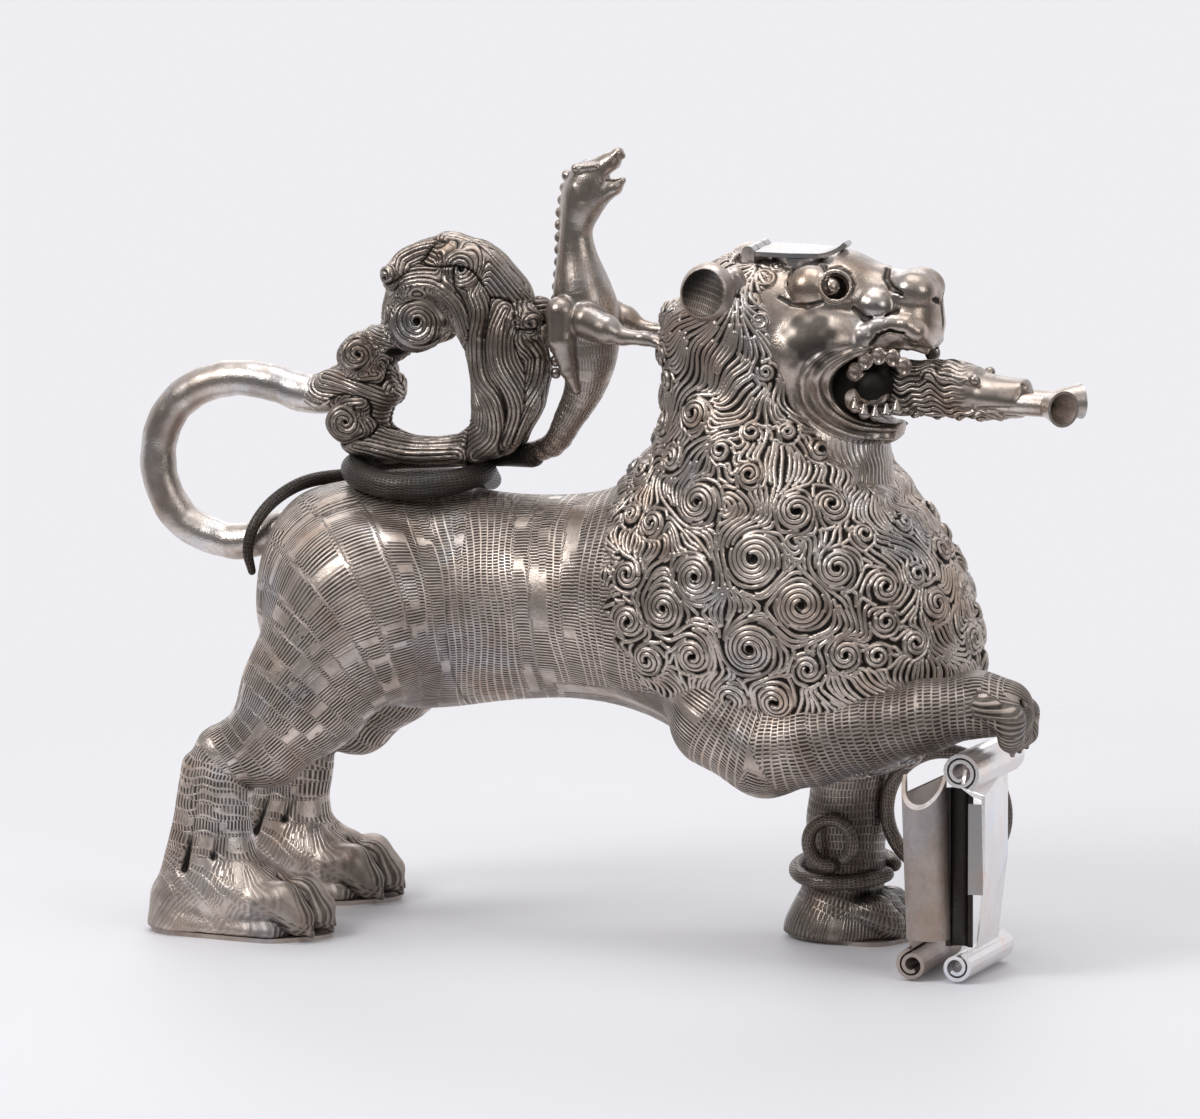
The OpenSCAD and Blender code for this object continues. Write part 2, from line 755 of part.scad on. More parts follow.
// One pipe with its flared mouth; s is -1 for the right one
module spout_pipe(s) {
    bore_r = pipe_bore / 2;
    pipe_r = pipe_d / 2;
    difference() {
        union() {
            translate([pipe_x0, s * pipe_y, spout_z])
                rotate([0, 90, 0])
                    cylinder(r = pipe_r, h = pipe_x1 - pipe_x0, $fn = 48);
            translate([pipe_x1, s * pipe_y, spout_z])
                sphere(r = pipe_r, $fn = 48);
            translate([pipe_x1, s * pipe_y, spout_z])
                rotate([0, 90, s * splay])
                    cylinder(r1 = pipe_r, r2 = mouth_d / 2, h = bell_l, $fn = 48);
        }
        translate([pipe_x0 - 1, s * pipe_y, spout_z])
            rotate([0, 90, 0])
                cylinder(r = bore_r, h = pipe_x1 - pipe_x0 + 1, $fn = 40);
        translate([pipe_x1, s * pipe_y, spout_z])
            sphere(r = bore_r, $fn = 40);
        translate([pipe_x1, s * pipe_y, spout_z])
            rotate([0, 90, s * splay])
                cylinder(r1 = bore_r, r2 = mouth_d / 2 - 0.6, h = bell_l + 0.01, $fn = 40);
        // Each pipe keeps to its own side
        translate([pipe_x0 - 5, s > 0 ? -20 : 0, spout_z - 20])
            cube([80, 20, 40]);
    }
}
module right_spout_pipe() {
    color(bright)
        place()
            spout_pipe(-1);
}
module left_spout_pipe() {
    color(bright)
        place()
            spout_pipe(1);
}

module filler_rim() {
    color(bright)
        place()
            translate([rim_x, 0, rim_top - rim_h])
                difference() {
                    cylinder(r = rim_r, h = rim_h, $fn = 64);
                    translate([0, 0, -1])
                        cylinder(r = fill_d / 2, h = rim_h + 2, $fn = 64);
                }
}

module cross_rod(r, y, l) {
    translate([hinge_x, y - l / 2, hinge_z])
        rotate([-90, 0, 0])
            cylinder(r = r, h = l, $fn = 48);
}
fixed_y = (lid_knuckle_l + fixed_knuckle_l) / 2 + move_gap;
module hinge_bracket() {
    post = 2 * knuckle_r;
    color(bright)
        place()
            difference() {
                union() {
                    for (s = [-1, 1]) {
                        cross_rod(knuckle_r, s * fixed_y, fixed_knuckle_l);
                        translate([hinge_x - knuckle_r, s * fixed_y - fixed_knuckle_l / 2, hinge_z - bracket_h])
                            cube([post, fixed_knuckle_l, bracket_h]);
                    }
                    translate([hinge_x - knuckle_r, -pin_l / 2, hinge_z - bracket_h])
                        cube([post, pin_l, bracket_h - knuckle_r - move_gap]);
                }
                cross_rod(pin_d / 2, 0, pin_l + 2);
            }
}
module hinge_pin() {
    color(bright)
        place()
            cross_rod(pin_d / 2, 0, pin_l + 0.6);
}
module lid_knuckle() {
    color(bright)
        place()
            difference() {
                union() {
                    cross_rod(knuckle_r, 0, lid_knuckle_l);
                    translate([hinge_x, -lid_knuckle_l / 2, lid_z])
                        cube([lid_x0 - hinge_x, lid_knuckle_l, lid_t]);
                }
                cross_rod(pin_d / 2 + pin_play, 0, lid_knuckle_l + 2);
            }
}
// Side view of the lid: a flat strip that curls up at the front
lift_steps = 8;
lid_low = [for (i = [0 : lift_steps]) let (q = lift_turn * i / lift_steps)
    [lid_flat_x + lift_r * sin(q), lid_z + lift_r * (1 - cos(q))]];
lid_high = [for (i = [lift_steps : -1 : 0]) let (q = lift_turn * i / lift_steps)
    [lid_flat_x + (lift_r - lid_t) * sin(q), lid_z + lift_r - (lift_r - lid_t) * cos(q)]];
lid_tip_x = lid_flat_x + lift_r * sin(lift_turn);
module lid_plate() {
    hw = lid_w / 2;
    color(bright)
        place()
            intersection() {
                translate([0, hw + 1, 0])
                    rotate([90, 0, 0])
                        linear_extrude(lid_w + 2)
                            polygon(concat([[lid_x0, lid_z + lid_t], [lid_x0, lid_z]], lid_low, lid_high));
                translate([0, 0, lid_z - 1])
                    linear_extrude(12)
                        polygon([[lid_x0 - 1, -hw + 1], [lid_x0 + 1, -hw], [lid_flat_x - 6, -hw],
                            [lid_flat_x, -hw + 1.5], [lid_tip_x - 1.5, -2.6], [lid_tip_x + 1, -1.4],
                            [lid_tip_x + 1, 1.4], [lid_tip_x - 1.5, 2.6], [lid_flat_x, hw - 1.5],
                            [lid_flat_x - 6, hw], [lid_x0 + 1, hw], [lid_x0 - 1, hw - 1]]);
            }
}

// Rolled sheet seen from its end: outer radius, turns, start angle; the roll runs inwards
function roll(r, turns, q0, s) =
    let (n = round(turns * 20), step = (sheet_t + 0.45) / 360)
    concat([for (i = [0 : n]) let (q = 360 * turns * i / n) (r - q * step) * [cos(q0 + s * q), sin(q0 + s * q)]],
        [for (i = [n : -1 : 0]) let (q = 360 * turns * i / n)
            (r - sheet_t - q * step) * [cos(q0 + s * q), sin(q0 + s * q)]]);
module roll_along_y(c, r, turns, q0, s, y, l) {
    translate([c[0], y + l, c[1]])
        rotate([90, 0, 0])
            linear_extrude(l)
                polygon(roll(r, turns, q0, s));
}
module shield_front() {
    y0 = shield_y0;
    y1 = shield_y1;
    color(bright)
        place()
            union() {
                // The face, with clipped corners and a narrow foot
                translate([shield_x - sheet_t / 2, 0, 0])
                    rotate([90, 0, 90])
                        linear_extrude(sheet_t)
                            polygon([[y0 + 3, shield_top + 2], [y0, shield_top - 3], [y0, 24], [y0 + 7, foot_gap],
                                [y1 - 7, foot_gap], [y1, 24], [y1, shield_top - 3], [y1 - 3, shield_top + 2]]);
                // The near edge is turned back
                translate([shield_x - turn_w, y0, turn_z])
                    cube([turn_w, sheet_t, shield_top - 5 - turn_z]);
                roll_along_y([front_scroll_x, scroll_r], scroll_r, 1.6, 75, -1, y0, shield_w);
                roll_along_y(top_scroll, top_scroll_r, 1.9, -60, 1, y0, shield_w);
            }
}
module shield_rear() {
    plate_x = gutter_x - gutter_r;
    color(bright)
        place()
            union() {
                translate([plate_x, gutter_y, foot_gap - 0.2])
                    cube([sheet_t, shield_y1 - gutter_y, shield_top - 4.2 - foot_gap]);
                difference() {
                    translate([gutter_x, gutter_y, 9])
                        difference() {
                            cylinder(r = gutter_r, h = shield_top - 9, $fn = 48);
                            translate([0, 0, -1])
                                cylinder(r = gutter_r - sheet_t, h = shield_top, $fn = 48);
                        }
                    translate([gutter_x - 10, gutter_y + 0.4, 0])
                        cube([20, 20, far]);
                    // The top is cut on the slant
                    translate([gutter_x - 10, shield_y0, shield_top - 7])
                        rotate([52, 0, 0])
                            cube([20, 20, 20]);
                }
                roll_along_y([rear_scroll_x, scroll_r], scroll_r, 1.5, 120, 1, shield_y0, shield_w);
            }
}
module shield_strap() {
    strap_x = gutter_x + gutter_r + strap_r;
    color(dark)
        place()
            difference() {
                translate([strap_x, gutter_y, scroll_r * 2])
                    difference() {
                        cylinder(r = strap_r - 0.02, h = shield_top - 2.6 - scroll_r * 2, $fn = 40);
                        translate([0, 0, -1])
                            cylinder(r = strap_r - sheet_t, h = shield_top, $fn = 40);
                    }
                translate([strap_x - 10, gutter_y - 20, 0])
                    cube([20, 20, far]);
            }
}

module serpent_ring() {
    color(silver)
        place()
            translate(ring_at)
                rotate([90, 0, 0])
                    rotate_extrude($fn = 72)
                        translate([ring_r, 0])
                            circle(r = serpent_r, $fn = 24);
}
band_steps = 36;
band_path = [for (i = [0 : band_steps]) let (q = 20 + 325 * i / band_steps)
    [band_at[0] + band_a * cos(q), band_at[1] + band_a * sin(q), band_at[2] + 1.7 * sin(q), serpent_r]];
module serpent_band() {
    echo(band_least_gap = self_gap(band_path, 12));
    color(silver)
        place()
            tube(band_path, 10, [0, 0, 1]);
}
curl_steps = 26;
curl_path = [for (i = [0 : curl_steps])
    let (t = i / curl_steps, q = -90 - 320 * t, r = curl_r * (1 - 0.12 * t))
    [curl_at[0] + r * cos(q), curl_at[1], curl_at[2] + r * sin(q), serpent_r * (1 - 0.2 * t)]];
module serpent_curl() {
    echo(curl_least_gap = self_gap(curl_path, 12));
    color(silver)
        place()
            tube(curl_path, 10, [0, 1, 0]);
}

hindquarters_shell();
forequarters_shell();
head_shell();
right_ear();
left_ear();
mouth_plug();
right_hind_leg();
left_hind_leg();
right_foreleg();
left_foreleg();
right_hind_sole();
left_hind_sole();
left_fore_sole();
tail();
tail_tuft();
wyvern_body();
wyvern_right_wing();
wyvern_left_wing();
wyvern_right_leg();
wyvern_left_leg();
wyvern_tail_coil();
spout_mask();
right_spout_pipe();
left_spout_pipe();
filler_rim();
hinge_bracket();
hinge_pin();
lid_plate();
lid_knuckle();
shield_front();
shield_rear();
shield_strap();
serpent_ring();
serpent_band();
serpent_curl();
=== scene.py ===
"""Looks of the silver lion aquamanile.

Shapes are worked out in millimetres in the photograph's frame, as in the part's source, and each piece
is moved to the row frame, in metres, when it is made.
"""
import math

import bpy
import numpy as np
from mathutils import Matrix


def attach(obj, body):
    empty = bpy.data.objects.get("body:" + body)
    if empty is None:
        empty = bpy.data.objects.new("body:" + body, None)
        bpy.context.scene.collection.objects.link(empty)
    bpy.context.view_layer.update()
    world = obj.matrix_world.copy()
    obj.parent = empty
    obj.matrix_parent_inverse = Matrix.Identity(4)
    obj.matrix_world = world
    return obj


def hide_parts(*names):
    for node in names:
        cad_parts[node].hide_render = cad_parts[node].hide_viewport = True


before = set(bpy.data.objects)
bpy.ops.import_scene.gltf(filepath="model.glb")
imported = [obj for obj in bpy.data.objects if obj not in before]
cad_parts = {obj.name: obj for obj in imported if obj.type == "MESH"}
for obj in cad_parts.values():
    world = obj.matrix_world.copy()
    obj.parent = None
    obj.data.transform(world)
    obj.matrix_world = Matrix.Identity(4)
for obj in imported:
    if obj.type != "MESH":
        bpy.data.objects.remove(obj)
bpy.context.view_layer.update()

import openvdb as vdb
from mathutils import Vector
from mathutils.bvhtree import BVHTree
from mathutils.kdtree import KDTree

SHIFT_X = -1.8837
# Photograph's pixel on the part, in mm
PIXEL = 0.225
rng = np.random.default_rng(11)


# Places

def at(px, py, y):
    """Point (mm) at side offset y that the photograph shows at that pixel."""
    x = (px - 600 - 1.405 * y) * 0.2313
    return np.array([x, y, (934 - py - 0.7134 * y) * 0.2231 + x * 0.0517])


def unit(v):
    v = np.asarray(v, float)
    return v / np.maximum(np.linalg.norm(v, axis=-1, keepdims=True), 1e-9)


def flip(p):
    """The same point on the other side of the middle plane."""
    return np.asarray(p, float) * [1, -1, 1]


def step(a, b, x):
    t = np.clip((x - a) / (b - a), 0, 1)
    return t * t * (3 - 2 * t)


def smooth_rows(rows, k):
    """Catmull-Rom curve through rows of numbers, with k steps between rows."""
    rows = np.array(rows, float)
    p = np.vstack([2 * rows[0] - rows[1], rows, 2 * rows[-1] - rows[-2]])
    out = []
    for i in range(1, len(p) - 2):
        a, b, c, d = p[i - 1:i + 3]
        for t in np.arange(k) / k:
            out.append(0.5 * (2 * b + (c - a) * t + (2 * a - 5 * b + 4 * c - d) * t * t
                              + (3 * b - a - 3 * c + d) * t ** 3))
    out.append(p[-2])
    return np.array(out)


# Distance fields

# Cells on each side of a surface that is read from a mesh
BAND = 12


def soft_min(a, b, k):
    if k <= 0:
        return np.minimum(a, b)
    h = np.clip(0.5 + 0.5 * (b - a) / k, 0, 1)
    return b + (a - b) * h - k * h * (1 - h)


class Field:
    """Signed distance in mm on a regular grid of cells."""

    def __init__(self, lo, hi, cell):
        self.cell = cell
        self.i0 = np.floor(np.array(lo, float) / cell).astype(int)
        self.n = np.ceil(np.array(hi, float) / cell).astype(int) - self.i0 + 1
        self.d = np.full(self.n, 30.0, np.float32)

    def part(self, lo, hi):
        a = np.clip(np.floor(np.asarray(lo, float) / self.cell).astype(int) - self.i0, 0, self.n - 1)
        b = np.clip(np.ceil(np.asarray(hi, float) / self.cell).astype(int) - self.i0 + 1, a + 1, self.n)
        x, y, z = [((np.arange(a[i], b[i]) + self.i0[i]) * self.cell).astype(np.float32) for i in range(3)]
        return tuple(slice(*ab) for ab in zip(a, b)), x[:, None, None], y[None, :, None], z[None, None, :]

    def add(self, shape, k=0.0):
        lo, hi, fn = shape
        m = k + 3 * self.cell
        sl, x, y, z = self.part(lo - m, hi + m)
        self.d[sl] = soft_min(self.d[sl], fn(x, y, z).astype(np.float32), k)

    def cut(self, shape, k=0.0):
        lo, hi, fn = shape
        m = k + 3 * self.cell
        sl, x, y, z = self.part(lo - m, hi + m)
        self.d[sl] = -soft_min(-self.d[sl], fn(x, y, z).astype(np.float32), k)

    def keep(self, fn, k=0.0):
        """Keeps the side of a surface where fn is below zero."""
        sl, x, y, z = self.part([-1e3] * 3, [1e3] * 3)
        self.d = -soft_min(-self.d, (-fn(x, y, z)).astype(np.float32) + 0 * self.d, k)

    def add_mesh(self, points, quads, tris):
        grid = vdb.FloatGrid.createLevelSetFromPolygons(
            np.ascontiguousarray(points, np.float32),
            triangles=np.ascontiguousarray(tris, np.uint32),
            quads=np.ascontiguousarray(quads, np.uint32),
            transform=vdb.createLinearTransform(voxelSize=self.cell), halfWidth=BAND)
        d = np.zeros(self.n, np.float32)
        grid.copyToArray(d, ijk=tuple(int(i) for i in self.i0))
        self.d = np.minimum(self.d, d)

    def chain(self, rows, k):
        """Rows are (x, y, z, r) or (x, y, z, r, r along Y)."""
        for a, b in zip(rows[:-1], rows[1:]):
            self.add(rod(a, b), k)

    def value(self, p):
        """Distance at points, read between the cells."""
        q = np.asarray(p) / self.cell - self.i0
        q = np.clip(q, 0, self.n - 1.001)
        i = q.astype(int)
        f = q - i
        out = 0
        for dx in (0, 1):
            for dy in (0, 1):
                for dz in (0, 1):
                    w = (f[:, 0] if dx else 1 - f[:, 0]) * (f[:, 1] if dy else 1 - f[:, 1])
                    w = w * (f[:, 2] if dz else 1 - f[:, 2])
                    out = out + w * self.d[i[:, 0] + dx, i[:, 1] + dy, i[:, 2] + dz]
        return out

    def slope(self, p):
        e = self.cell * 0.7
        g = [self.value(p + d) - self.value(p - d) for d in np.eye(3) * e]
        return unit(np.stack(g, 1))

    def mesh(self):
        b = 3 * self.cell
        grid = vdb.FloatGrid(b)
        grid.copyFromArray(np.clip(self.d, -b, b))
        p, q = grid.convertToQuads(isovalue=0.0)
        return (p.astype(float) + self.i0) * self.cell, q.astype(np.int64)


def ball(c, r, turn=None):
    """Ellipsoid; turn is a matrix whose columns are its axes."""
    c = np.asarray(c, float)
    r = np.broadcast_to(np.asarray(r, float), (3,)).copy()
    t = np.eye(3) if turn is None else np.asarray(turn, float)
    reach = np.full(3, r.max()) if turn is not None else r

    def fn(x, y, z):
        px, py, pz = x - c[0], y - c[1], z - c[2]
        q = [(px * t[0, i] + py * t[1, i] + pz * t[2, i]) / r[i] for i in range(3)]
        k0 = np.sqrt(q[0] ** 2 + q[1] ** 2 + q[2] ** 2)
        k1 = np.sqrt((q[0] / r[0]) ** 2 + (q[1] / r[1]) ** 2 + (q[2] / r[2]) ** 2) + 1e-6
        return k0 * (k0 - 1) / k1

    return c - reach, c + reach, fn


def rod(a, b):
    """Round-ended rod between two rows (x, y, z, r, r along Y)."""
    a, b = np.asarray(a, float), np.asarray(b, float)
    ra, rb = a[3], b[3]
    wa = a[4] / a[3] if len(a) > 4 else 1.0
    wb = b[4] / b[3] if len(b) > 4 else 1.0
    p, d = a[:3], b[:3] - a[:3]
    dd = max(d @ d, 1e-9)

    def fn(x, y, z):
        px, py, pz = x - p[0], y - p[1], z - p[2]
        t = np.clip((px * d[0] + py * d[1] + pz * d[2]) / dd, 0, 1)
        w = wa + (wb - wa) * t
        return np.sqrt((px - t * d[0]) ** 2 + ((py - t * d[1]) / w) ** 2 + (pz - t * d[2]) ** 2) \
            - (ra + (rb - ra) * t)

    m = max(ra * max(wa, 1), rb * max(wb, 1))
    return np.minimum(a[:3], b[:3]) - m, np.maximum(a[:3], b[:3]) + m, fn


def block(lo, hi, r=0.0):
    """Box with rounded edges."""
    c, e = (np.array(lo, float) + hi) / 2, (np.array(hi, float) - lo) / 2 - r

    def fn(x, y, z):
        q = [abs(v - c[i]) - e[i] for i, v in enumerate((x, y, z))]
        out = np.sqrt(np.maximum(q[0], 0) ** 2 + np.maximum(q[1], 0) ** 2 + np.maximum(q[2], 0) ** 2)
        return out + np.minimum(np.maximum(np.maximum(q[0], q[1]), q[2]), 0) - r

    return np.array(lo, float), np.array(hi, float), fn


def drum(c, r, z0, z1):
    """Upright cylinder."""

    def fn(x, y, z):
        d = np.sqrt((x - c[0]) ** 2 + (y - c[1]) ** 2) - r
        return np.maximum(d, np.maximum(z0 - z, z - z1))

    return np.array([c[0] - r, c[1] - r, z0]), np.array([c[0] + r, c[1] + r, z1]), fn


def hoop(c, axis, radius, tube):
    """Ring round an axis through c."""
    c, n = np.asarray(c, float), unit(axis)

    def fn(x, y, z):
        px, py, pz = x - c[0], y - c[1], z - c[2]
        h = px * n[0] + py * n[1] + pz * n[2]
        q = np.sqrt(np.maximum(px ** 2 + py ** 2 + pz ** 2 - h ** 2, 0)) - radius
        return np.sqrt(q ** 2 + h ** 2) - tube

    return c - radius - tube, c + radius + tube, fn


# Meshes as arrays

def vertex_normals(v, f):
    n = np.cross(v[f[:, 2]] - v[f[:, 0]], v[f[:, -1]] - v[f[:, 1]]) if f.shape[1] == 4 else \
        np.cross(v[f[:, 1]] - v[f[:, 0]], v[f[:, 2]] - v[f[:, 0]])
    out = np.zeros_like(v)
    for c in range(3):
        for k in range(f.shape[1]):
            out[:, c] += np.bincount(f[:, k], n[:, c], len(v))
    return unit(out)


def edges_of(f):
    e = np.vstack([np.stack([f[:, i], f[:, (i + 1) % f.shape[1]]], 1) for i in range(f.shape[1])])
    e.sort(1)
    return np.unique(e, axis=0)


def relax(values, e, n, rounds, share=1.0):
    """Values averaged over neighbours, along edges."""
    deg = np.maximum(np.bincount(e.ravel(), minlength=n), 1)
    out = np.array(values, float)
    flat = out.ndim == 1
    out = out.reshape(n, -1)
    for _ in range(rounds):
        s = np.stack([np.bincount(e[:, 0], out[e[:, 1], c], n) + np.bincount(e[:, 1], out[e[:, 0], c], n)
                      for c in range(out.shape[1])], 1) / deg[:, None]
        out = out + share * (s - out)
    return out.ravel() if flat else out


def finer(v, f):
    """Each quad becomes four."""
    n = len(v)
    e = np.stack([np.stack([f[:, i], f[:, (i + 1) % 4]], 1) for i in range(4)], 1).reshape(-1, 2)
    e.sort(1)
    u, inv = np.unique(e, axis=0, return_inverse=True)
    inv = inv.reshape(-1, 4)
    mid = (v[u[:, 0]] + v[u[:, 1]]) / 2
    cen = v[f].mean(1)
    m, c = n + inv, n + len(u) + np.arange(len(f))
    out = [np.stack([f[:, i], m[:, i], c, m[:, (i + 3) % 4]], 1) for i in range(4)]
    return np.vstack([v, mid, cen]), np.vstack(out)


def skin(field, smooth=2, fine=0):
    """Mesh of a field, evened out and set back on its surface."""
    v, f = field.mesh()
    e = edges_of(f)
    v = relax(v, e, len(v), smooth, 0.5)
    for _ in range(fine):
        v, f = finer(v, f)
    if fine:
        v = relax(v, edges_of(f), len(v), 2, 0.5)
    for _ in range(2):
        v = v - field.slope(v) * np.clip(field.value(v), -1, 1)[:, None]
    return v, f


def hollows(v, f, n, rounds, scale):
    """How far each point lies in a groove, from 0 to 1, by comparing it with its surroundings."""
    e = edges_of(f)
    mean = relax(v, e, len(v), rounds, 0.7)
    return np.clip(((mean - v) * n).sum(1) / scale, -1, 1)


def tube(path, radius, sides=20, cap=3):
    """Round-ended tube along points; also its length and angle at each vertex."""
    p = np.array(path, float)
    r = np.broadcast_to(np.asarray(radius, float), (len(p),)).copy()
    t = unit(np.gradient(p, axis=0))
    q = np.linspace(0, math.pi / 2, cap + 1)[1:]
    pre = [(p[0] - t[0] * r[0] * math.sin(a), r[0] * max(math.cos(a), 0.02), t[0]) for a in q[::-1]]
    post = [(p[-1] + t[-1] * r[-1] * math.sin(a), r[-1] * max(math.cos(a), 0.02), t[-1]) for a in q]
    p = np.vstack([[a[0] for a in pre], p, [a[0] for a in post]])
    r = np.concatenate([[a[1] for a in pre], r, [a[1] for a in post]])
    t = np.vstack([[a[2] for a in pre], t, [a[2] for a in post]])
    u = unit(np.cross(t[0], [0.12, 0.98, 0.15]))
    ang = np.arange(sides) / sides * 2 * math.pi
    v, s = [], np.concatenate([[0], np.cumsum(np.linalg.norm(np.diff(p, axis=0), axis=1))])
    for i in range(len(p)):
        u = unit(u - t[i] * (u @ t[i]))
        w = np.cross(t[i], u)
        v.append(p[i] + r[i] * (np.cos(ang)[:, None] * u + np.sin(ang)[:, None] * w))
    n = len(p)
    i, j = np.meshgrid(np.arange(n - 1), np.arange(sides), indexing="ij")
    k = (j + 1) % sides
    f = np.stack([i * sides + j, i * sides + k, (i + 1) * sides + k, (i + 1) * sides + j], -1).reshape(-1, 4)
    v = np.vstack(v)
    flow = np.stack([np.repeat(s, sides), np.repeat(r, sides) * np.tile(np.cos(ang), n),
                     np.repeat(r, sides) * np.tile(np.sin(ang), n)], 1)
    return v, f, flow


def piece(name, v, f, material, nodes, attrs=None, body="vessel"):
    """Makes an object of arrays in mm and lets it ride."""
    mesh = bpy.data.meshes.new(name)
    co = ((np.asarray(v) + [SHIFT_X, 0, 0]) / 1000).astype(np.float32)
    k = f.shape[1]
    mesh.vertices.add(len(co))
    mesh.vertices.foreach_set("co", co.ravel())
    mesh.loops.add(f.size)
    mesh.loops.foreach_set("vertex_index", f.astype(np.int32).ravel())
    mesh.polygons.add(len(f))
    mesh.polygons.foreach_set("loop_start", np.arange(0, f.size, k, dtype=np.int32))
    mesh.update(calc_edges=True)
    mesh.validate()
    mesh.shade_smooth()
    for key, val in (attrs or {}).items():
        val = np.asarray(val, np.float32)
        a = mesh.attributes.new(key, "FLOAT_VECTOR" if val.ndim == 2 else "FLOAT", "POINT")
        a.data.foreach_set("vector" if val.ndim == 2 else "value", val.ravel())
    mesh.materials.append(material)
    obj = bpy.data.objects.new(name, mesh)
    bpy.context.scene.collection.objects.link(obj)
    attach(obj, body)
    if nodes:
        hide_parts(*nodes)
    return obj


def part_of(v, f, mask, *values):
    """Faces whose corners are all in the mask, with their own vertices."""
    keep = f[mask]
    used = np.unique(keep)
    new = np.zeros(len(v), np.int64)
    new[used] = np.arange(len(used))
    return (v[used], new[keep]) + tuple(x[used] for x in values)


# Materials

def nodes_of(material):
    material.use_nodes = True
    t = material.node_tree
    t.nodes.clear()
    return t


class Graph:
    """Short names for shader nodes."""

    def __init__(self, tree):
        self.t = tree

    def node(self, kind, **props):
        n = self.t.nodes.new(kind)
        for k, v in props.items():
            setattr(n, k, v)
        return n

    def put(self, socket, value):
        if isinstance(value, bpy.types.NodeSocket):
            self.t.links.new(value, socket)
        else:
            socket.default_value = value

    def math(self, op, a, b=None, c=None, clamp=False):
        n = self.node("ShaderNodeMath", operation=op, use_clamp=clamp)
        for i, v in enumerate((a, b, c)):
            if v is not None:
                self.put(n.inputs[i], v)
        return n.outputs[0]

    def noise(self, vector, scale, detail=3.0, rough=0.55):
        n = self.node("ShaderNodeTexNoise")
        self.put(n.inputs["Vector"], vector)
        n.inputs["Scale"].default_value = scale
        n.inputs["Detail"].default_value = detail
        n.inputs["Roughness"].default_value = rough
        return n.outputs["Fac"]

    def ramp(self, fac, stops):
        n = self.node("ShaderNodeValToRGB")
        self.put(n.inputs[0], fac)
        e = n.color_ramp.elements
        while len(e) < len(stops):
            e.new(0.5)
        for el, (pos, col) in zip(e, stops):
            el.position = pos
            el.color = (*col, 1) if hasattr(col, "__len__") else (col, col, col, 1)
        return n.outputs[0]

    def mix(self, fac, a, b, kind="MIX"):
        n = self.node("ShaderNodeMix", data_type="RGBA", blend_type=kind)
        self.put(n.inputs[0], fac)
        self.put(n.inputs[6], (*a, 1) if isinstance(a, tuple) else a)
        self.put(n.inputs[7], (*b, 1) if isinstance(b, tuple) else b)
        return n.outputs[2]

    def span(self, v, a, b, c=0.0, d=1.0):
        n = self.node("ShaderNodeMapRange", interpolation_type="SMOOTHSTEP")
        self.put(n.inputs[0], v)
        for i, x in enumerate((a, b, c, d)):
            n.inputs[i + 1].default_value = x
        return n.outputs[0]

    def attr(self, name, output="Fac"):
        return self.node("ShaderNodeAttribute", attribute_name=name).outputs[output]

    def parts(self, vector):
        n = self.node("ShaderNodeSeparateXYZ")
        self.put(n.inputs[0], vector)
        return n.outputs

    def dashes(self):
        """Chased dashes, 1 in a cut.

        The attributes hold (row, dash in the row, amount) and how far they fan out."""
        u, w, amount = self.parts(self.attr("tick", "Vector"))
        fan = [self.math("MAXIMUM", self.math("ROUND", x), 1.0)
               for x in self.parts(self.attr("fan", "Vector"))]
        u = self.math("MULTIPLY", u, fan[0])
        hop = self.node("ShaderNodeTexWhiteNoise", noise_dimensions="1D")
        self.put(hop.inputs["W"], self.math("FLOOR", u))
        w = self.math("ADD", self.math("MULTIPLY", w, fan[1]),
                      self.math("MULTIPLY", hop.outputs["Value"], 7.0))
        key = self.node("ShaderNodeCombineXYZ")
        self.put(key.inputs[0], self.math("FLOOR", u))
        self.put(key.inputs[1], self.math("FLOOR", w))
        chance = self.node("ShaderNodeTexWhiteNoise", noise_dimensions="2D")
        self.put(chance.inputs["Vector"], key.outputs[0])
        fu = self.math("FRACT", u)
        across = self.math("ABSOLUTE", self.math("SUBTRACT", self.math("FRACT", w), 0.5))
        cut = self.span(across, 0.16, 0.4, 1.0, 0.0)
        cut = self.math("MULTIPLY", cut, self.math("MULTIPLY", self.span(fu, 0.02, 0.14),
                                                   self.span(fu, 0.76, 0.92, 1.0, 0.0)))
        cut = self.math("MULTIPLY", cut, self.span(chance.outputs["Value"], 0.0, 0.5, 0.8, 1.0))
        return self.math("MULTIPLY", cut, amount)

    def strands(self):
        """Hair strands: height from 0 in a groove to 1, and how much hair there is."""
        c, s, amount = self.parts(self.attr("strand", "Vector"))
        a = self.math("DIVIDE", self.math("ABSOLUTE", self.math("ARCTAN2", s, c)), math.pi)
        height = self.math("SQRT", self.math("SUBTRACT", 1.0, self.math("MULTIPLY", a, a), clamp=True))
        return height, amount


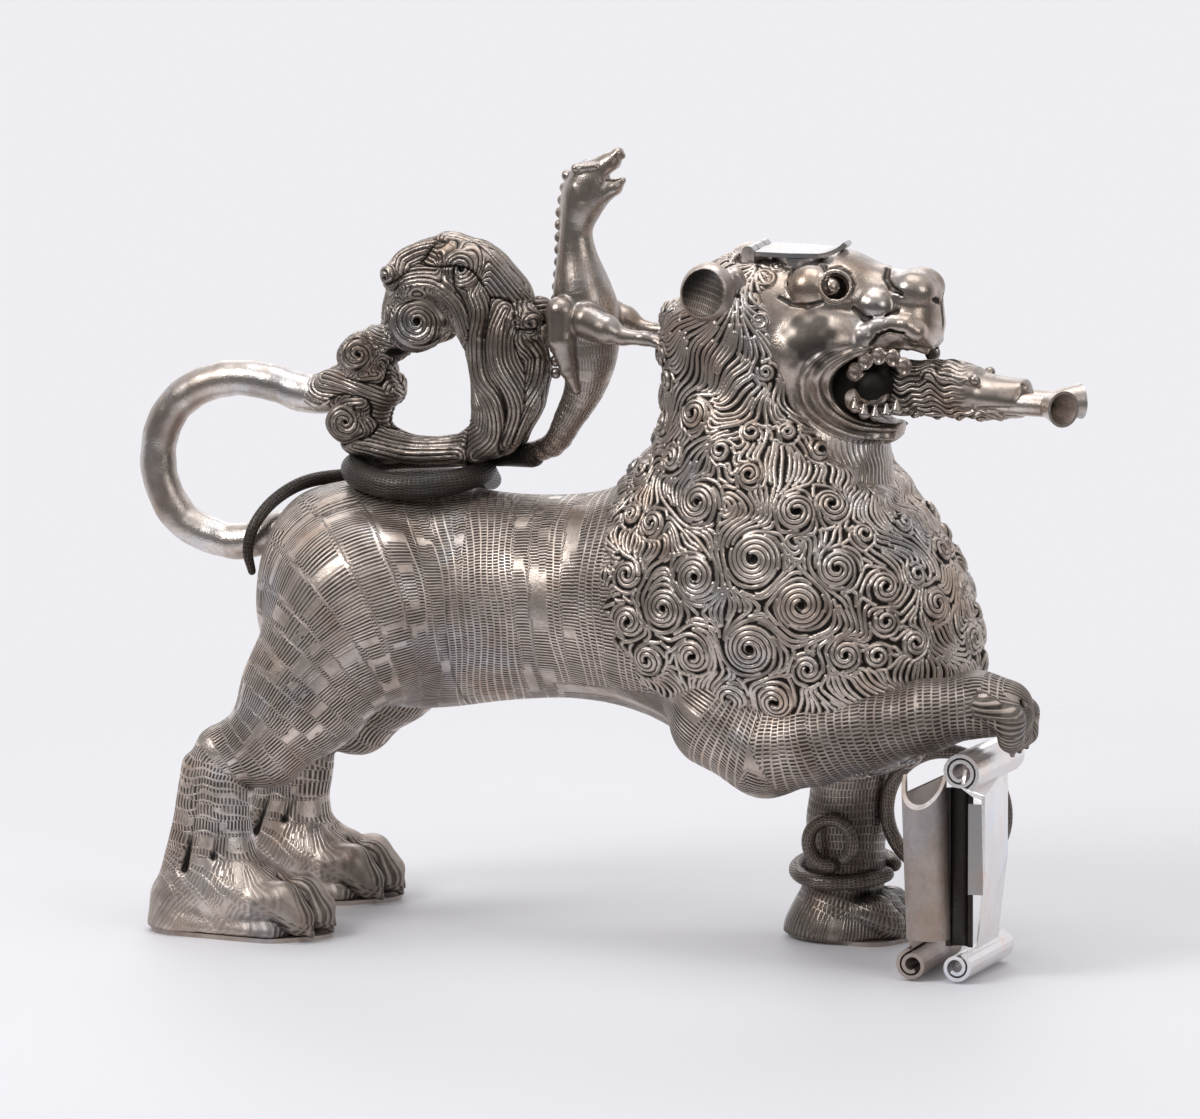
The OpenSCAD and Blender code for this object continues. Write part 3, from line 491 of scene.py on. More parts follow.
def silver(name, bright, mid, dark, rough=0.3, tarnish=0.5, grain=0.12, dashed=False, hairy=False,
           depth=0.0002, cut=0.75):
    """Oxidised silver: bright where it is rubbed, brown and blue in the film, black in the hollows."""
    m = bpy.data.materials.new(name)
    t = nodes_of(m)
    g = Graph(t)
    out = g.node("ShaderNodeOutputMaterial")
    bsdf = g.node("ShaderNodeBsdfPrincipled")
    t.links.new(bsdf.outputs[0], out.inputs[0])
    bsdf.inputs["Metallic"].default_value = 0.9
    coord = g.node("ShaderNodeTexCoord").outputs["Object"]
    big = g.noise(coord, 42.0, 4.0, 0.6)
    patch = g.noise(coord, 140.0, 4.0, 0.62)
    fine = g.noise(coord, 900.0, 3.0, 0.6)
    pits = g.noise(coord, 3600.0, 2.0, 0.5)
    film = g.math("ADD", g.math("MULTIPLY", big, 0.55), g.math("MULTIPLY", patch, 0.45))
    film = g.math("MULTIPLY", g.span(film, 0.38, 0.64), tarnish)
    col = g.mix(film, bright, mid)
    hue = g.ramp(g.noise(coord, 70.0, 3.0), [(0.34, (0.86, 0.96, 1.1)), (0.46, (1.0, 0.99, 0.98)),
                                             (0.56, (1.0, 0.99, 0.98)), (0.7, (1.12, 0.96, 0.84))])
    col = g.mix(0.7, col, hue, "MULTIPLY")
    col = g.mix(g.math("MULTIPLY", g.span(fine, 0.42, 0.72), 0.3), col, mid)
    dip = g.span(g.attr("cav"), 0.04, 0.7)
    height = None
    if dashed:
        cuts = g.dashes()
        worn = g.span(g.noise(coord, 230.0, 3.0), 0.3, 0.6, 0.8, 1.0)
        cuts = g.math("MULTIPLY", cuts, worn)
        deep = g.math("MULTIPLY", cuts, cut)
        dip = g.math("SUBTRACT", g.math("ADD", dip, deep), g.math("MULTIPLY", dip, deep))
        height = g.math("MULTIPLY", cuts, -1.0)
    if hairy:
        ridge, amount = g.strands()
        gap = g.math("MULTIPLY", g.span(ridge, 0.3, 0.92, 1.0, 0.0), amount)
        dip = g.math("MAXIMUM", dip, g.math("MULTIPLY", gap, cut))
        height = g.math("MULTIPLY", ridge, amount)
    col = g.mix(dip, col, dark)
    t.links.new(col, bsdf.inputs["Base Color"])
    r = g.math("ADD", g.math("MULTIPLY", g.math("SUBTRACT", patch, 0.5), 0.34), rough)
    r = g.math("ADD", r, g.math("MULTIPLY", dip, 0.3), clamp=True)
    t.links.new(r, bsdf.inputs["Roughness"])
    b0 = g.node("ShaderNodeBump")
    b0.inputs["Strength"].default_value = grain
    b0.inputs["Distance"].default_value = 0.0002
    g.put(b0.inputs["Height"], g.math("ADD", pits, g.math("MULTIPLY", fine, 1.5)))
    normal = b0.outputs[0]
    if height is not None:
        b1 = g.node("ShaderNodeBump")
        b1.inputs["Strength"].default_value = 0.8
        b1.inputs["Distance"].default_value = depth
        g.put(b1.inputs["Height"], height)
        g.put(b1.inputs["Normal"], normal)
        normal = b1.outputs[0]
    t.links.new(normal, bsdf.inputs["Normal"])
    return m


DARK = (0.024, 0.02, 0.018)
SKIN = silver("chased_silver", (0.74, 0.645, 0.575), (0.36, 0.3, 0.262),
              DARK, 0.32, 0.8, 0.25, dashed=True, cut=0.92)
HAIR = silver("curled_silver", (0.7, 0.62, 0.555), (0.36, 0.3, 0.265),
              DARK, 0.3, 0.7, 0.14, hairy=True, cut=1.0)
# Darker copy of the chased silver for the standing foreleg: painted shade under the chest
SHADE = silver("shaded_silver", (0.38, 0.33, 0.292), (0.12, 0.099, 0.086),
               DARK, 0.27, 0.8, 0.25, dashed=True, cut=0.8)
LOCKS = silver("dark_locks", (0.48, 0.42, 0.374), (0.2, 0.164, 0.144),
               DARK, 0.28, 0.75, 0.14, hairy=True, cut=1.0)
FACE = silver("smooth_silver", (0.6, 0.52, 0.46), (0.2, 0.162, 0.137), DARK, 0.25, 0.85, 0.16)
TAIL = silver("tail_silver", (0.78, 0.715, 0.665), (0.36, 0.31, 0.278), DARK, 0.28, 0.85, 0.25)
# The coil's colour is darkened as painted shadow, where it lies under the tuft
COIL = silver("scaled_silver_painted_shadow", (0.13, 0.113, 0.102), (0.06, 0.051, 0.045),
              DARK, 0.38, 0.7, 0.2, dashed=True, depth=0.00015, cut=0.7)
PLATE = silver("sheet_silver", (0.9, 0.88, 0.88), (0.74, 0.7, 0.69),
               (0.05, 0.045, 0.042), 0.22, 0.4, 0.06)
LID = silver("lid_silver", (0.6, 0.585, 0.59), (0.48, 0.455, 0.455),
             (0.05, 0.045, 0.042), 0.3, 0.5, 0.06)
# Darker sheet silver for the soles and the back of the shield: painted shade under the feet and inside the
# shield
SHADED_SHEET = silver("sheet_painted_shade", (0.53, 0.46, 0.42), (0.32, 0.268, 0.238),
              (0.05, 0.045, 0.042), 0.5, 0.7, 0.4)
# Near-black silver for the shield strap: painted shade in the hollow between the gutter and the front sheet
STRAP_SHADE = silver("strap_painted_shade", (0.05, 0.043, 0.04), (0.024, 0.021, 0.02),
               (0.012, 0.011, 0.01), 0.3, 0.6, 0.2)
SERPENT = silver("serpent_silver", (0.31, 0.268, 0.236), (0.13, 0.108, 0.095),
                 DARK, 0.3, 0.7, 0.2, dashed=True, depth=0.00015, cut=0.7)
WYVERN = silver("wyvern_silver", (0.52, 0.46, 0.415), (0.25, 0.206, 0.178),
                DARK, 0.26, 0.75, 0.16, dashed=True, depth=0.0001, cut=0.5)


# Body and legs

REAR = [[-76, 82, -76.3, 72, 6], [-73.8, 89.5, -75.8, 61.5, 15], [-68.8, 95, -70.5, 54, 21],
        [-59, 98, -58, 50, 25], [-46, 98.5, -44, 48.5, 25]]
FRONT = [[-34, 98, -34, 49, 23], [-18.5, 97, -18.5, 51.5, 22], [-3.5, 98, -2.5, 52.5, 22.5],
         [5, 101, 14, 49.5, 25.5], [12, 108, 39, 38.5, 28.5], [15.6, 114, 66, 41, 31],
         [16.6, 121, 85, 59, 30], [16.4, 127.5, 83, 81, 27], [15.4, 134.5, 73, 98.5, 22],
         [17.5, 141, 68, 109, 19]]
HIND_Y, STAND_Y, RAISED_Y = 24.0, 13.0, -20.5
ROW, DASH = 1.75, 0.84


def loft(rows, k=6, sides=64, grow=0.0):
    """Closed skin over oval rings; a row is (back x, back z, belly x, belly z, half width)."""
    rows = smooth_rows(rows, k)
    q = np.arange(sides) / sides * 2 * math.pi
    v = []
    for bx, bz, vx, vz, hw in rows:
        top, low = np.array([bx, 0, bz]), np.array([vx, 0, vz])
        mid, half = (top + low) / 2, (top - low) / 2
        half = half * (1 + grow / max(np.linalg.norm(half), 1e-6))
        v.append(mid + np.cos(q)[:, None] * half + np.sin(q)[:, None] * np.array([0, hw + grow, 0]))
    n = len(v)
    v = np.vstack(v + [v[0].mean(0), v[-1].mean(0)])
    i, j = np.meshgrid(np.arange(n - 1), np.arange(sides), indexing="ij")
    k2 = (j + 1) % sides
    quads = np.stack([i * sides + j, i * sides + k2, (i + 1) * sides + k2, (i + 1) * sides + j], -1)
    j = np.arange(sides)
    k2 = (j + 1) % sides
    tris = np.vstack([np.stack([np.full(sides, n * sides), k2, j], 1),
                      np.stack([np.full(sides, n * sides + 1), (n - 1) * sides + j,
                                (n - 1) * sides + k2], 1)])
    return v, quads.reshape(-1, 4), tris


def ticks(length, angle, radius_at, amount, row=ROW, dash=DASH):
    """Rows of dashes along a length: row number, dash number in the row, amount."""
    return np.stack([length / row, angle * radius_at(length) / dash, amount], 1)


def fan_out(v, tick, e):
    """How many times too long the rows and dashes are at each point, by their slopes along the edges."""
    out = []
    size = np.linalg.norm(v[e[:, 0]] - v[e[:, 1]], axis=1)
    for i, full in ((0, ROW), (1, DASH)):
        rate = np.abs(tick[e[:, 0], i] - tick[e[:, 1], i]) / np.maximum(size, 1e-6) * full
        most = np.zeros(len(v))
        for end in (0, 1):
            np.maximum.at(most, e[:, end], np.minimum(rate, 3.0))
        out.append(1 / np.clip(relax(most[:, None], e, len(v), 24, 0.7)[:, 0], 0.45, 3.0))
    return np.stack([*out, np.zeros(len(v))], 1)


class Limb:
    """Chain of rows (x, y, z, r, r along Y), with length and angle round its axis."""

    def __init__(self, rows):
        self.rows = [list(r) + [r[3]] * (5 - len(r)) for r in rows]
        p = np.array(self.rows)
        self.start = np.concatenate([[0], np.cumsum(np.linalg.norm(np.diff(p[:, :3], axis=0), axis=1))])
        self.radius = p[:, 3]

    def add(self, field, k):
        field.chain(self.rows, k)

    def radius_at(self, length):
        return np.interp(length, self.start, self.radius)

    def flow(self, v):
        """Distance from the limb's skin, length along it and angle round it, at points."""
        best = np.full(len(v), 1e9)
        length, angle = np.zeros(len(v)), np.zeros(len(v))
        ways = unit(np.diff(np.array(self.rows)[:, :3], axis=0))
        last = len(ways) - 1
        for i, (a, b) in enumerate(zip(self.rows[:-1], self.rows[1:])):
            a, b = np.array(a), np.array(b)
            d = b[:3] - a[:3]
            # Sections meet on the planes that halve the bends, so that lengths grow evenly round them
            start = (v - a[:3]) @ unit(ways[max(i - 1, 0)] + ways[i])
            end = (b[:3] - v) @ unit(ways[i] + ways[min(i + 1, last)])
            t = np.where(start + end > 0.2, start / np.maximum(start + end, 0.2), (v - a[:3]) @ d / (d @ d))
            t = np.clip(t, 0, 1)
            rel = v - a[:3] - t[:, None] * d
            r = a[3] + (b[3] - a[3]) * t
            w = a[4] / a[3] + (b[4] / b[3] - a[4] / a[3]) * t
            dist = np.sqrt(rel[:, 0] ** 2 + (rel[:, 1] / w) ** 2 + rel[:, 2] ** 2) - r
            axis = unit(d)
            e1 = unit(np.array([0, 1, 0]) - axis * axis[1])
            e2 = np.cross(axis, e1)
            near = dist < best
            best[near] = dist[near]
            length[near] = (self.start[i] + t * np.linalg.norm(d))[near]
            angle[near] = np.arctan2(rel @ e1, rel @ e2)[near]
        return best, length, angle


def hind_leg(s):
    rows = [[-50, 5, 73, 18.5, 12], [-61.5, 3, 54, 14, 11], [-70, 1, 42.5, 9.5, 8], [-79.5, 0, 40, 5.8, 5.5],
            [-80.8, 0, 29, 7, 6], [-82, 0, 16, 9.6, 7.4], [-89, 0, 7, 7, 8]]
    # The left leg's knee is further forward
    lead = [1.5, 4.5, 5, 4.5, 2.5, 0.8, 0] if s > 0 else [0] * 7
    return Limb([[x + dx, s * (HIND_Y - inset), z, r, ry] for dx, (x, inset, z, r, ry) in zip(lead, rows)])


def toe(field, root, knuckle, tip, r, claw):
    """One rounded toe with a blunt claw; points are (x, y, z)."""
    root, knuckle, tip = np.array(root), np.array(knuckle), np.array(tip)
    field.add(rod([*root, r * 0.95], [*knuckle, r]), 0.9)
    field.add(rod([*knuckle, r], [*tip, r * 0.86]), 0.7)
    way = unit(tip - knuckle)
    nail = tip + way * r * 0.72 + np.array([0, 0, 0.5])
    end = nail + way * claw * 1.1 - np.array([0, 0, claw * 0.9])
    field.add(rod([*nail, claw], [*end, claw * 0.55]), 0.3)


body = Field([-100, -40, -1], [112, 40, 106], 0.66)
v, quads, tris = loft(REAR + FRONT[:7])
body.add_mesh(v, quads, tris)
legs = {"right_hind_leg": hind_leg(-1), "left_hind_leg": hind_leg(1)}
for s in (-1, 1):
    y = s * HIND_Y
    hind_leg(s).add(body, 3.0)
    body.add(ball([-49, s * 18, 72], [19, 9, 19]), 7.0)
    body.add(rod([-88, y, 7, 7, 8], [-76, y, 9, 9, 9.5]), 2.5)
    body.add(rod([-76, y, 9, 9, 9.5], [-69, y, 8, 7.5, 10]), 2.5)
    # The heel spreads to the sole
    body.add(ball([-88, y, 1.5], [8.9, 8.9, 6.5]), 2.5)
    body.add(rod([-88, y, 2.0, 5.0, 8.8], [-66, y, 2.0, 5.0, 11.6]), 2.0)
    # Tendon at the back, and the hollows beside it
    lead = 3.4 if s > 0 else 0.0
    body.add(rod([-86.5 + lead, y, 37, 2.6], [-89.0 + 0.3 * lead, y, 14, 3.4]), 3.0)
    for dy in (-5.6, 5.6):
        body.cut(rod([-83.4 + lead, y + dy * 1.05, 35, 0.7], [-86.4, y + dy * 1.25, 15, 1.1]), 1.2)
        body.cut(rod([-77.2 + lead, y + dy * 1.1, 30, 0.6], [-79.4, y + dy * 1.35, 18, 1.0]), 1.2)
    for o, long in ((-1, -1.0), (0, 1.2), (1, -1.0)):
        toe(body, [-70, y + o * 6.2, 8.0], [-62.5 + long, y + o * 6.9, 8.8],
            [-58.8 + long, y + o * 7.2, 5.2], 4.4, 1.4)
    for o in (-0.5, 0.5):
        body.cut(rod([-66, y + o * 6.6, 13.4, 0.6], [-57.7, y + o * 7.4, 11.4, 0.8]), 0.7)
        body.cut(rod([-57.7, y + o * 7.4, 11.4, 0.8], [-54.0, y + o * 7.6, 2.6, 0.9]), 0.7)
RAISED = Limb([[34, -19, 53, 11.4], [45, -21, 46.8, 9.6], [57, -22, 49.6, 8.8], [69, -22, 53, 8],
               [82, -21.5, 56.6, 7.3], [93, -21, 59.8, 6.6], [99.4, -20.5, 59.2, 6.2]])
RAISED.add(body, 3.5)
for o, r in ((-5.2, 3.5), (0.0, 3.7), (5.2, 3.5)):
    toe(body, [96.4, RAISED_Y + o, 60.2], [101.9, RAISED_Y + o, 57.4], [102.3, RAISED_Y + o, 53.2], r, 0.9)
for o in (-2.7, 2.7):
    body.cut(rod([97, RAISED_Y + o, 65.0, 0.5], [105.3, RAISED_Y + o, 60.0, 0.7]), 0.6)
    body.cut(rod([105.3, RAISED_Y + o, 60.0, 0.7], [106, RAISED_Y + o, 51.5, 0.7]), 0.6)
STAND = Limb([[55, STAND_Y, 52, 10, 9], [54, STAND_Y, 40, 9, 8.6], [53, STAND_Y, 26, 8.4, 8.2],
              [52.8, STAND_Y, 15, 8.4, 8.4], [50.5, STAND_Y, 7, 8.2, 9.6]])
STAND.add(body, 2.5)
body.add(ball([52.5, STAND_Y, 1.5], [13.6, 12.6, 9.0]), 4.0)
for o in (-1, 0, 1):
    toe(body, [57, STAND_Y + o * 5.6, 6.4], [61.5, STAND_Y + o * 5.8, 6.6],
        [64.5, STAND_Y + o * 5.6, 4.4], 4.0, 1.2)
legs["right_foreleg"], legs["left_foreleg"] = RAISED, STAND
body.keep(lambda x, y, z: 1.0 - z + 0 * x + 0 * y, 0.4)

# Middle of the barrel, haunch and hind leg: x, distance from the middle plane, z, radius
BEND = [[30, 0, 75, 25], [0, 2, 75, 23.5], [-18, 4, 74, 22], [-34, 8, 73, 22], [-47, 14, 69, 20],
        [-57, 18.5, 60.5, 16], [-65, 21.5, 50.5, 12.5], [-72, 23.4, 43.4, 9], [-78.8, 24, 38, 6.2],
        [-80.8, 24, 28, 6.8], [-82, 24, 16, 8.6], [-87, 24, 8, 8]]
EDGE_Z = np.array([30, 40, 50, 60, 70, 79, 95, 101, 112, 160], float)
EDGE_X = np.array([58, 45, 31, 18.5, 12, 9.5, 8.0, 6.5, 4.0, 0.0], float)


def mane_edge(z):
    """Where the mane ends towards the tail, by height."""
    return np.interp(z, EDGE_Z, EDGE_X)


v, f = skin(body)
n = vertex_normals(v, f)
best, owner = np.full(len(v), 1e9), np.full(len(v), -1)
on_leg = np.zeros((len(v), 3))
for i, leg in enumerate(legs.values()):
    d, length, angle = leg.flow(v)
    sway = length + 0.5 * np.sin(2 * angle + 0.12 * length)
    rows = ticks(sway, angle, leg.radius_at, np.ones(len(v)))
    near = d < best
    best[near], owner[near], on_leg[near] = d[near], i, rows[near]
# The dashes run along the barrel and bend down into the hind legs
on_body = np.zeros((len(v), 3))
for s in (-1, 1):
    bend = Limb(smooth_rows([[x, s * y, z, r, r] for x, y, z, r in BEND], 3).tolist())
    _, length, angle = bend.flow(v)
    sway = length + 0.9 * np.sin(2.0 * angle + 0.08 * length) + 0.35 * np.sin(5 * angle - 0.2 * length)
    mine = v[:, 1] * s >= 0
    on_body[mine] = ticks(sway, angle, bend.radius_at, np.ones(len(v)))[mine]
low = np.where(owner >= 2, 58.0, 46.0)
limb = np.maximum(step(3.5, -1.5, best), step(low + 3, low - 3, v[:, 2]))
tick = np.where(((limb > 0.5) & (owner >= 2))[:, None], on_leg, on_body)
toes = ((v[:, 2] < 15) & (v[:, 0] > -64) & (v[:, 0] < -40)) | ((v[:, 0] > 101) & (v[:, 2] < 70))
tick[:, 2] = np.where(toes | (owner == 3), 0.8, 0.3 + 0.7 * step(3.0, 24.0, v[:, 2]))
fan = fan_out(v, tick, edges_of(f))
cav = np.clip(hollows(v, f, n, 10, 0.5), 0, 1)
# The feet are darkened towards the floor as painted shadow, and the raised leg is darker
foot = step(24, 9, v[:, 2])
cav = np.maximum(cav, np.where(v[:, 0] > 20, 0.1, np.where(v[:, 0] > -70, 0.36, 0.15)) * foot)
cav = np.maximum(cav, 0.34 * (owner == 2) * step(40, 60, v[:, 0]))
# The seam in front of the thigh
seam = np.abs(v[:, 0] + 28)
cav = np.maximum(cav, 0.4 * step(0.5, 0.15, seam) * step(80, 74, v[:, 2]) * (best > 1.0))
face_owner = np.where((limb[f] > 0.5).all(1), owner[f[:, 0]], -1)
face_owner = np.where(v[f].mean(1)[:, 2] < 46, owner[f[:, 0]], face_owner)
for i, name in enumerate(["body", *legs]):
    pv, pf, pc, pt, pn = part_of(v, f, face_owner == i - 1, cav, tick, fan)
    nodes = [name] if i else ["hindquarters_shell", "forequarters_shell"]
    # The standing foreleg takes the darker copy, as painted shade
    material = SHADE if name == "left_foreleg" else SKIN
    piece(name + "_skin", pv, pf, material, nodes, dict(cav=pc, tick=pt, fan=pn))


# Hair

class Near:
    """Finds the points round a place, through cells of a few mm."""

    def __init__(self, v, size=6.0):
        self.v, self.size, self.lo = v, size, v.min(0)
        c = ((v - self.lo) / size).astype(int)
        self.n = c.max(0) + 1
        key = (c[:, 0] * self.n[1] + c[:, 1]) * self.n[2] + c[:, 2]
        self.order = np.argsort(key, kind="stable")
        self.key = key[self.order]

    def __call__(self, p, r):
        a = np.clip(((p - r - self.lo) / self.size).astype(int), 0, self.n - 1)
        b = np.clip(((p + r - self.lo) / self.size).astype(int), 0, self.n - 1)
        out = []
        for i in range(a[0], b[0] + 1):
            for j in range(a[1], b[1] + 1):
                base = (i * self.n[1] + j) * self.n[2]
                out.append(self.order[np.searchsorted(self.key, base + a[2]):
                                      np.searchsorted(self.key, base + b[2] + 1)])
        i = np.concatenate(out)
        return i[((self.v[i] - p) ** 2).sum(1) < r * r]


EYE = np.array([0.305, -0.938, 0.165])


def seen(tree, px, py):
    """Where the photograph's line of sight meets a surface."""
    hit, nrm, _, _ = tree.ray_cast(Vector(at(px, py, 0.0) + EYE * 200), Vector(-EYE))
    return (np.array(hit), np.array(nrm)) if hit is not None else (None, None)


def tree_of(v, f):
    return BVHTree.FromPolygons([Vector(p) for p in v], f.tolist(), epsilon=0.0)


def mirrored(curls):
    """Curls (centre, normal, radius, hand) with those of the other side."""
    other = [(flip(c), flip(m), r, -hand) for c, m, r, hand in curls if c[1] < -r * 0.7]
    return curls + other


def ripple(v, seed):
    """Smooth noise between 0 and 1, a few centimetres long."""
    wild = np.random.default_rng(seed)
    total = np.zeros(len(v))
    for _ in range(7):
        total += np.sin(v @ (unit(wild.normal(size=3)) * wild.uniform(0.22, 0.75)) + wild.uniform(0, 6.3))
    return np.clip(0.5 + total * 0.16, 0, 1)


def comb(v, n, across, curls, strand, lift, group, arms=3):
    """Hair over a surface: strands run where across is constant, and wind up round each curl.

    Gives the height of each point, its place across a strand, and a tone for the deep places."""
    psi = across.copy()
    dome, deep = np.zeros(len(v)), np.zeros(len(v))
    calm = np.ones(len(v))
    near = Near(v)
    for c, m, r, hand in curls:
        i = near(c, r * 1.9)
        if not len(i):
            continue
        i = i[n[i] @ m > 0.0]
        rel = v[i] - c
        k = np.argmin((rel ** 2).sum(1))
        local = across[i] - across[i[k]]
        e1 = unit(rel.T @ np.clip(local, -r, r)) * hand
        e1 = unit(e1 - m * (e1 @ m))
        e2 = np.cross(m, e1)
        dist = np.sqrt((rel @ e1) ** 2 + (rel @ e2) ** 2)
        turn = np.arctan2(rel @ e2, rel @ e1)
        w = step(r * 1.7, r * 0.85, dist)
        wound = step(r * 1.12, r * 0.98, dist)
        psi[i] += w * (hand * dist - local) + wound * arms * strand * turn / (2 * math.pi)
        calm[i] = np.minimum(calm[i], 1 - w)
        rise = step(r * 1.3, r * 0.85, dist)
        dome[i] = np.maximum(dome[i], rise * (0.6 + 0.7 * (1 - np.clip(dist / r, 0, 1) ** 2)))
        pit = step(r * 0.24, r * 0.09, dist)
        dome[i] -= pit * min(1.3, r * 0.3)
        edge = np.exp(-((dist - r * 1.16) / (r * 0.1)) ** 2)
        deep[i] = np.maximum(deep[i], np.maximum(pit * 0.9, 0.35 * edge))
    wave = 2 * math.pi * psi / strand
    fold = np.abs(np.mod(psi / group, 1.0) - 0.5) * 2 if group else 0 * psi
    low = step(0.66, 1.0, fold) * calm * step(0.38, 0.66, ripple(v, 5))
    deep = np.maximum(deep, 0.75 * low)
    ridge = np.abs(np.mod(psi / strand + 0.5, 1.0) - 0.5) * 2
    height = lift * (1 - ridge ** 2.2) + dome - 0.5 * low
    return height, np.stack([np.cos(wave), np.sin(wave), np.ones(len(v))], 1), deep


class Cells:
    """Points in cells, to ask whether a place is free of strands."""

    def __init__(self, size):
        self.size, self.cells = size, {}

    def key(self, p):
        return int(p[0] // self.size), int(p[1] // self.size), int(p[2] // self.size)

    def put(self, p):
        self.cells.setdefault(self.key(p), []).append((p[0], p[1], p[2]))

    def free(self, p, reach):
        i, j, k = self.key(p)
        px, py, pz = p
        far = reach * reach
        for a in (i - 1, i, i + 1):
            for b in (j - 1, j, j + 1):
                for c in (k - 1, k, k + 1):
                    for x, y, z in self.cells.get((a, b, c), ()):
                        if (x - px) ** 2 + (y - py) ** 2 + (z - pz) ** 2 < far:
                            return False
        return True


def kd_of(points):
    tree = KDTree(len(points))
    for i, p in enumerate(points):
        tree.insert(p, i)
    tree.balance()
    return tree


def swirl(v, n, base, curls):
    """Directions over a surface that follow base and wind round the curls."""
    rest, way = np.ones(len(v)), np.zeros_like(base)
    near = Near(v)
    for c, m, r, hand in curls:
        i = near(c, r * 2.3)
        i = i[n[i] @ m > 0.0]
        rel = v[i] - c
        rel = rel - m * (rel @ m)[:, None]
        dist = np.maximum(np.linalg.norm(rel, axis=1), 1e-3)
        w = step(r * 2.2, r * 0.95, dist)
        way[i] += (w / dist)[:, None] * (np.cross(m, rel) * hand - 0.2 * rel)
        rest[i] *= 1 - w
    way = way + base * rest[:, None]
    return unit(way - n * (way * n).sum(1)[:, None])


def curl_arms(c, m, r, hand, gap):
    """Spiral strands of one curl, from its rim to the hole in the middle."""
    e1 = unit(np.cross(m, [0.3, 0.1, 1.0]))
    e2 = np.cross(m, e1)
    count = 2 if r > 2.6 else 1
    hole = max(0.75, 0.26 * r)
    turns = (r - hole) / (gap * 1.1 * count)
    t = np.linspace(0, 1, int(turns * 15 * r) + 8)[:, None]
    out = []
    for k in range(count):
        q = hand * t * turns * 2 * math.pi + 2 * math.pi * k / count
        out.append(c + (r + (hole - r) * t) * (np.cos(q) * e1 + np.sin(q) * e2))
    return out


def lay_strands(v, n, way, arms, seeds, inside, gap, longest):
    """Evenly spaced strands along a direction at each vertex, after the arms."""
    tree, near, lines, hop = kd_of(v), Cells(gap), [], 0.28

    def settle(p):
        i = tree.find(p)[1]
        return p - n[i] * ((p - v[i]) @ n[i]), i

    def lay(row):
        for p in row:
            near.put(p)
        lines.append(np.array(row))

    for arm in arms:
        lay([settle(p)[0] for p in arm])
    for s in seeds:
        if not near.free(v[s], gap * 0.92):
            continue
        row = [v[s]]
        for sign in (1.0, -1.0):
            p, i, old = v[s], s, None
            for _ in range(int(longest / 2 / hop)):
                d = way[i] * sign
                if old is not None and d @ old < 0.3:
                    break
                p, i = settle(p + d * hop)
                if not inside[i] or not near.free(p, gap * 0.62):
                    break
                if len(row) > 12 and ((np.array(row[:-9]) - p) ** 2).sum(1).min() < (0.7 * gap) ** 2:
                    break
                row.append(p)
                old = d
            row = row[::-1]
        if len(row) > 5:
            lay(row)
    return lines


def across_strands(v, n, lines, gap):
    """Place of each vertex across the nearest strand, and its distance from it."""
    points = np.vstack(lines)
    heading = np.vstack([unit(np.gradient(row, axis=0)) for row in lines])
    tree = kd_of(points)
    i = np.array([tree.find(p)[1] for p in v])
    t = heading[i]
    rel = v - points[i]
    rel = rel - t * np.clip((rel * t).sum(1), -0.16, 0.16)[:, None]
    d = np.linalg.norm(rel, axis=1)
    turn = np.pi * np.clip(2 * d / gap, 0, 1) * np.sign((np.cross(n, t) * rel).sum(1) + 1e-9)
    return np.stack([np.cos(turn), np.sin(turn), np.ones(len(v))], 1), d


def domes(v, n, curls):
    """Height of the curls over the hair, and a tone for the holes in their middles."""
    rise, deep = np.zeros(len(v)), np.zeros(len(v))
    near = Near(v)
    for c, m, r, _ in curls:
        i = near(c, r * 1.5)
        i = i[n[i] @ m > 0.0]
        rel = v[i] - c
        dist = np.linalg.norm(rel - m * (rel @ m)[:, None], axis=1)
        dome = 0.5 + 0.6 * (1 - np.clip(dist / r, 0, 1) ** 2)
        rise[i] = np.maximum(rise[i], step(r * 1.25, r * 0.8, dist) * dome)
        pit = step(max(0.6, r * 0.24), max(0.3, r * 0.1), dist)
        rise[i] -= pit * min(1.3, r * 0.3)
        edge = np.exp(-((dist - r * 1.14) / (r * 0.1)) ** 2)
        deep[i] = np.maximum(deep[i], np.maximum(pit, 0.4 * edge))
    return rise, deep


# Curls on the near side: pixel, radius in pixels, hand
CURLS = [(753, 559, 25, 1), (799, 605, 22, -1), (749, 648, 25, 1), (695, 577, 21, -1), (664, 608, 20, 1),
         (834, 569, 18, 1), (653, 524, 13, 1), (698, 503, 20, 1), (633, 516, 11, -1), (794, 513, 18, 1),
         (828, 506, 16, -1), (881, 587, 15, -1), (628, 575, 13, -1), (629, 621, 15, -1), (648, 658, 14, 1),
         (693, 655, 16, -1), (806, 668, 13, -1), (843, 654, 14, 1), (882, 621, 11, 1), (932, 604, 15, 1),
         (911, 642, 12, -1), (729, 697, 17, 1), (774, 700, 17, -1), (693, 712, 16, 1), (748, 476, 11, -1),
         (817, 452, 10, 1), (937, 550, 13, -1), (900, 524, 9, 1), (694, 415, 15, 1), (764, 374, 9, 1),
         (785, 434, 9, -1), (750, 434, 8, 1), (969, 637, 13, -1), (874, 655, 11, 1), (860, 535, 10, -1),
         (960, 585, 11, 1), (672, 460, 12, -1), (720, 452, 10, 1), (912, 575, 10, 1)]

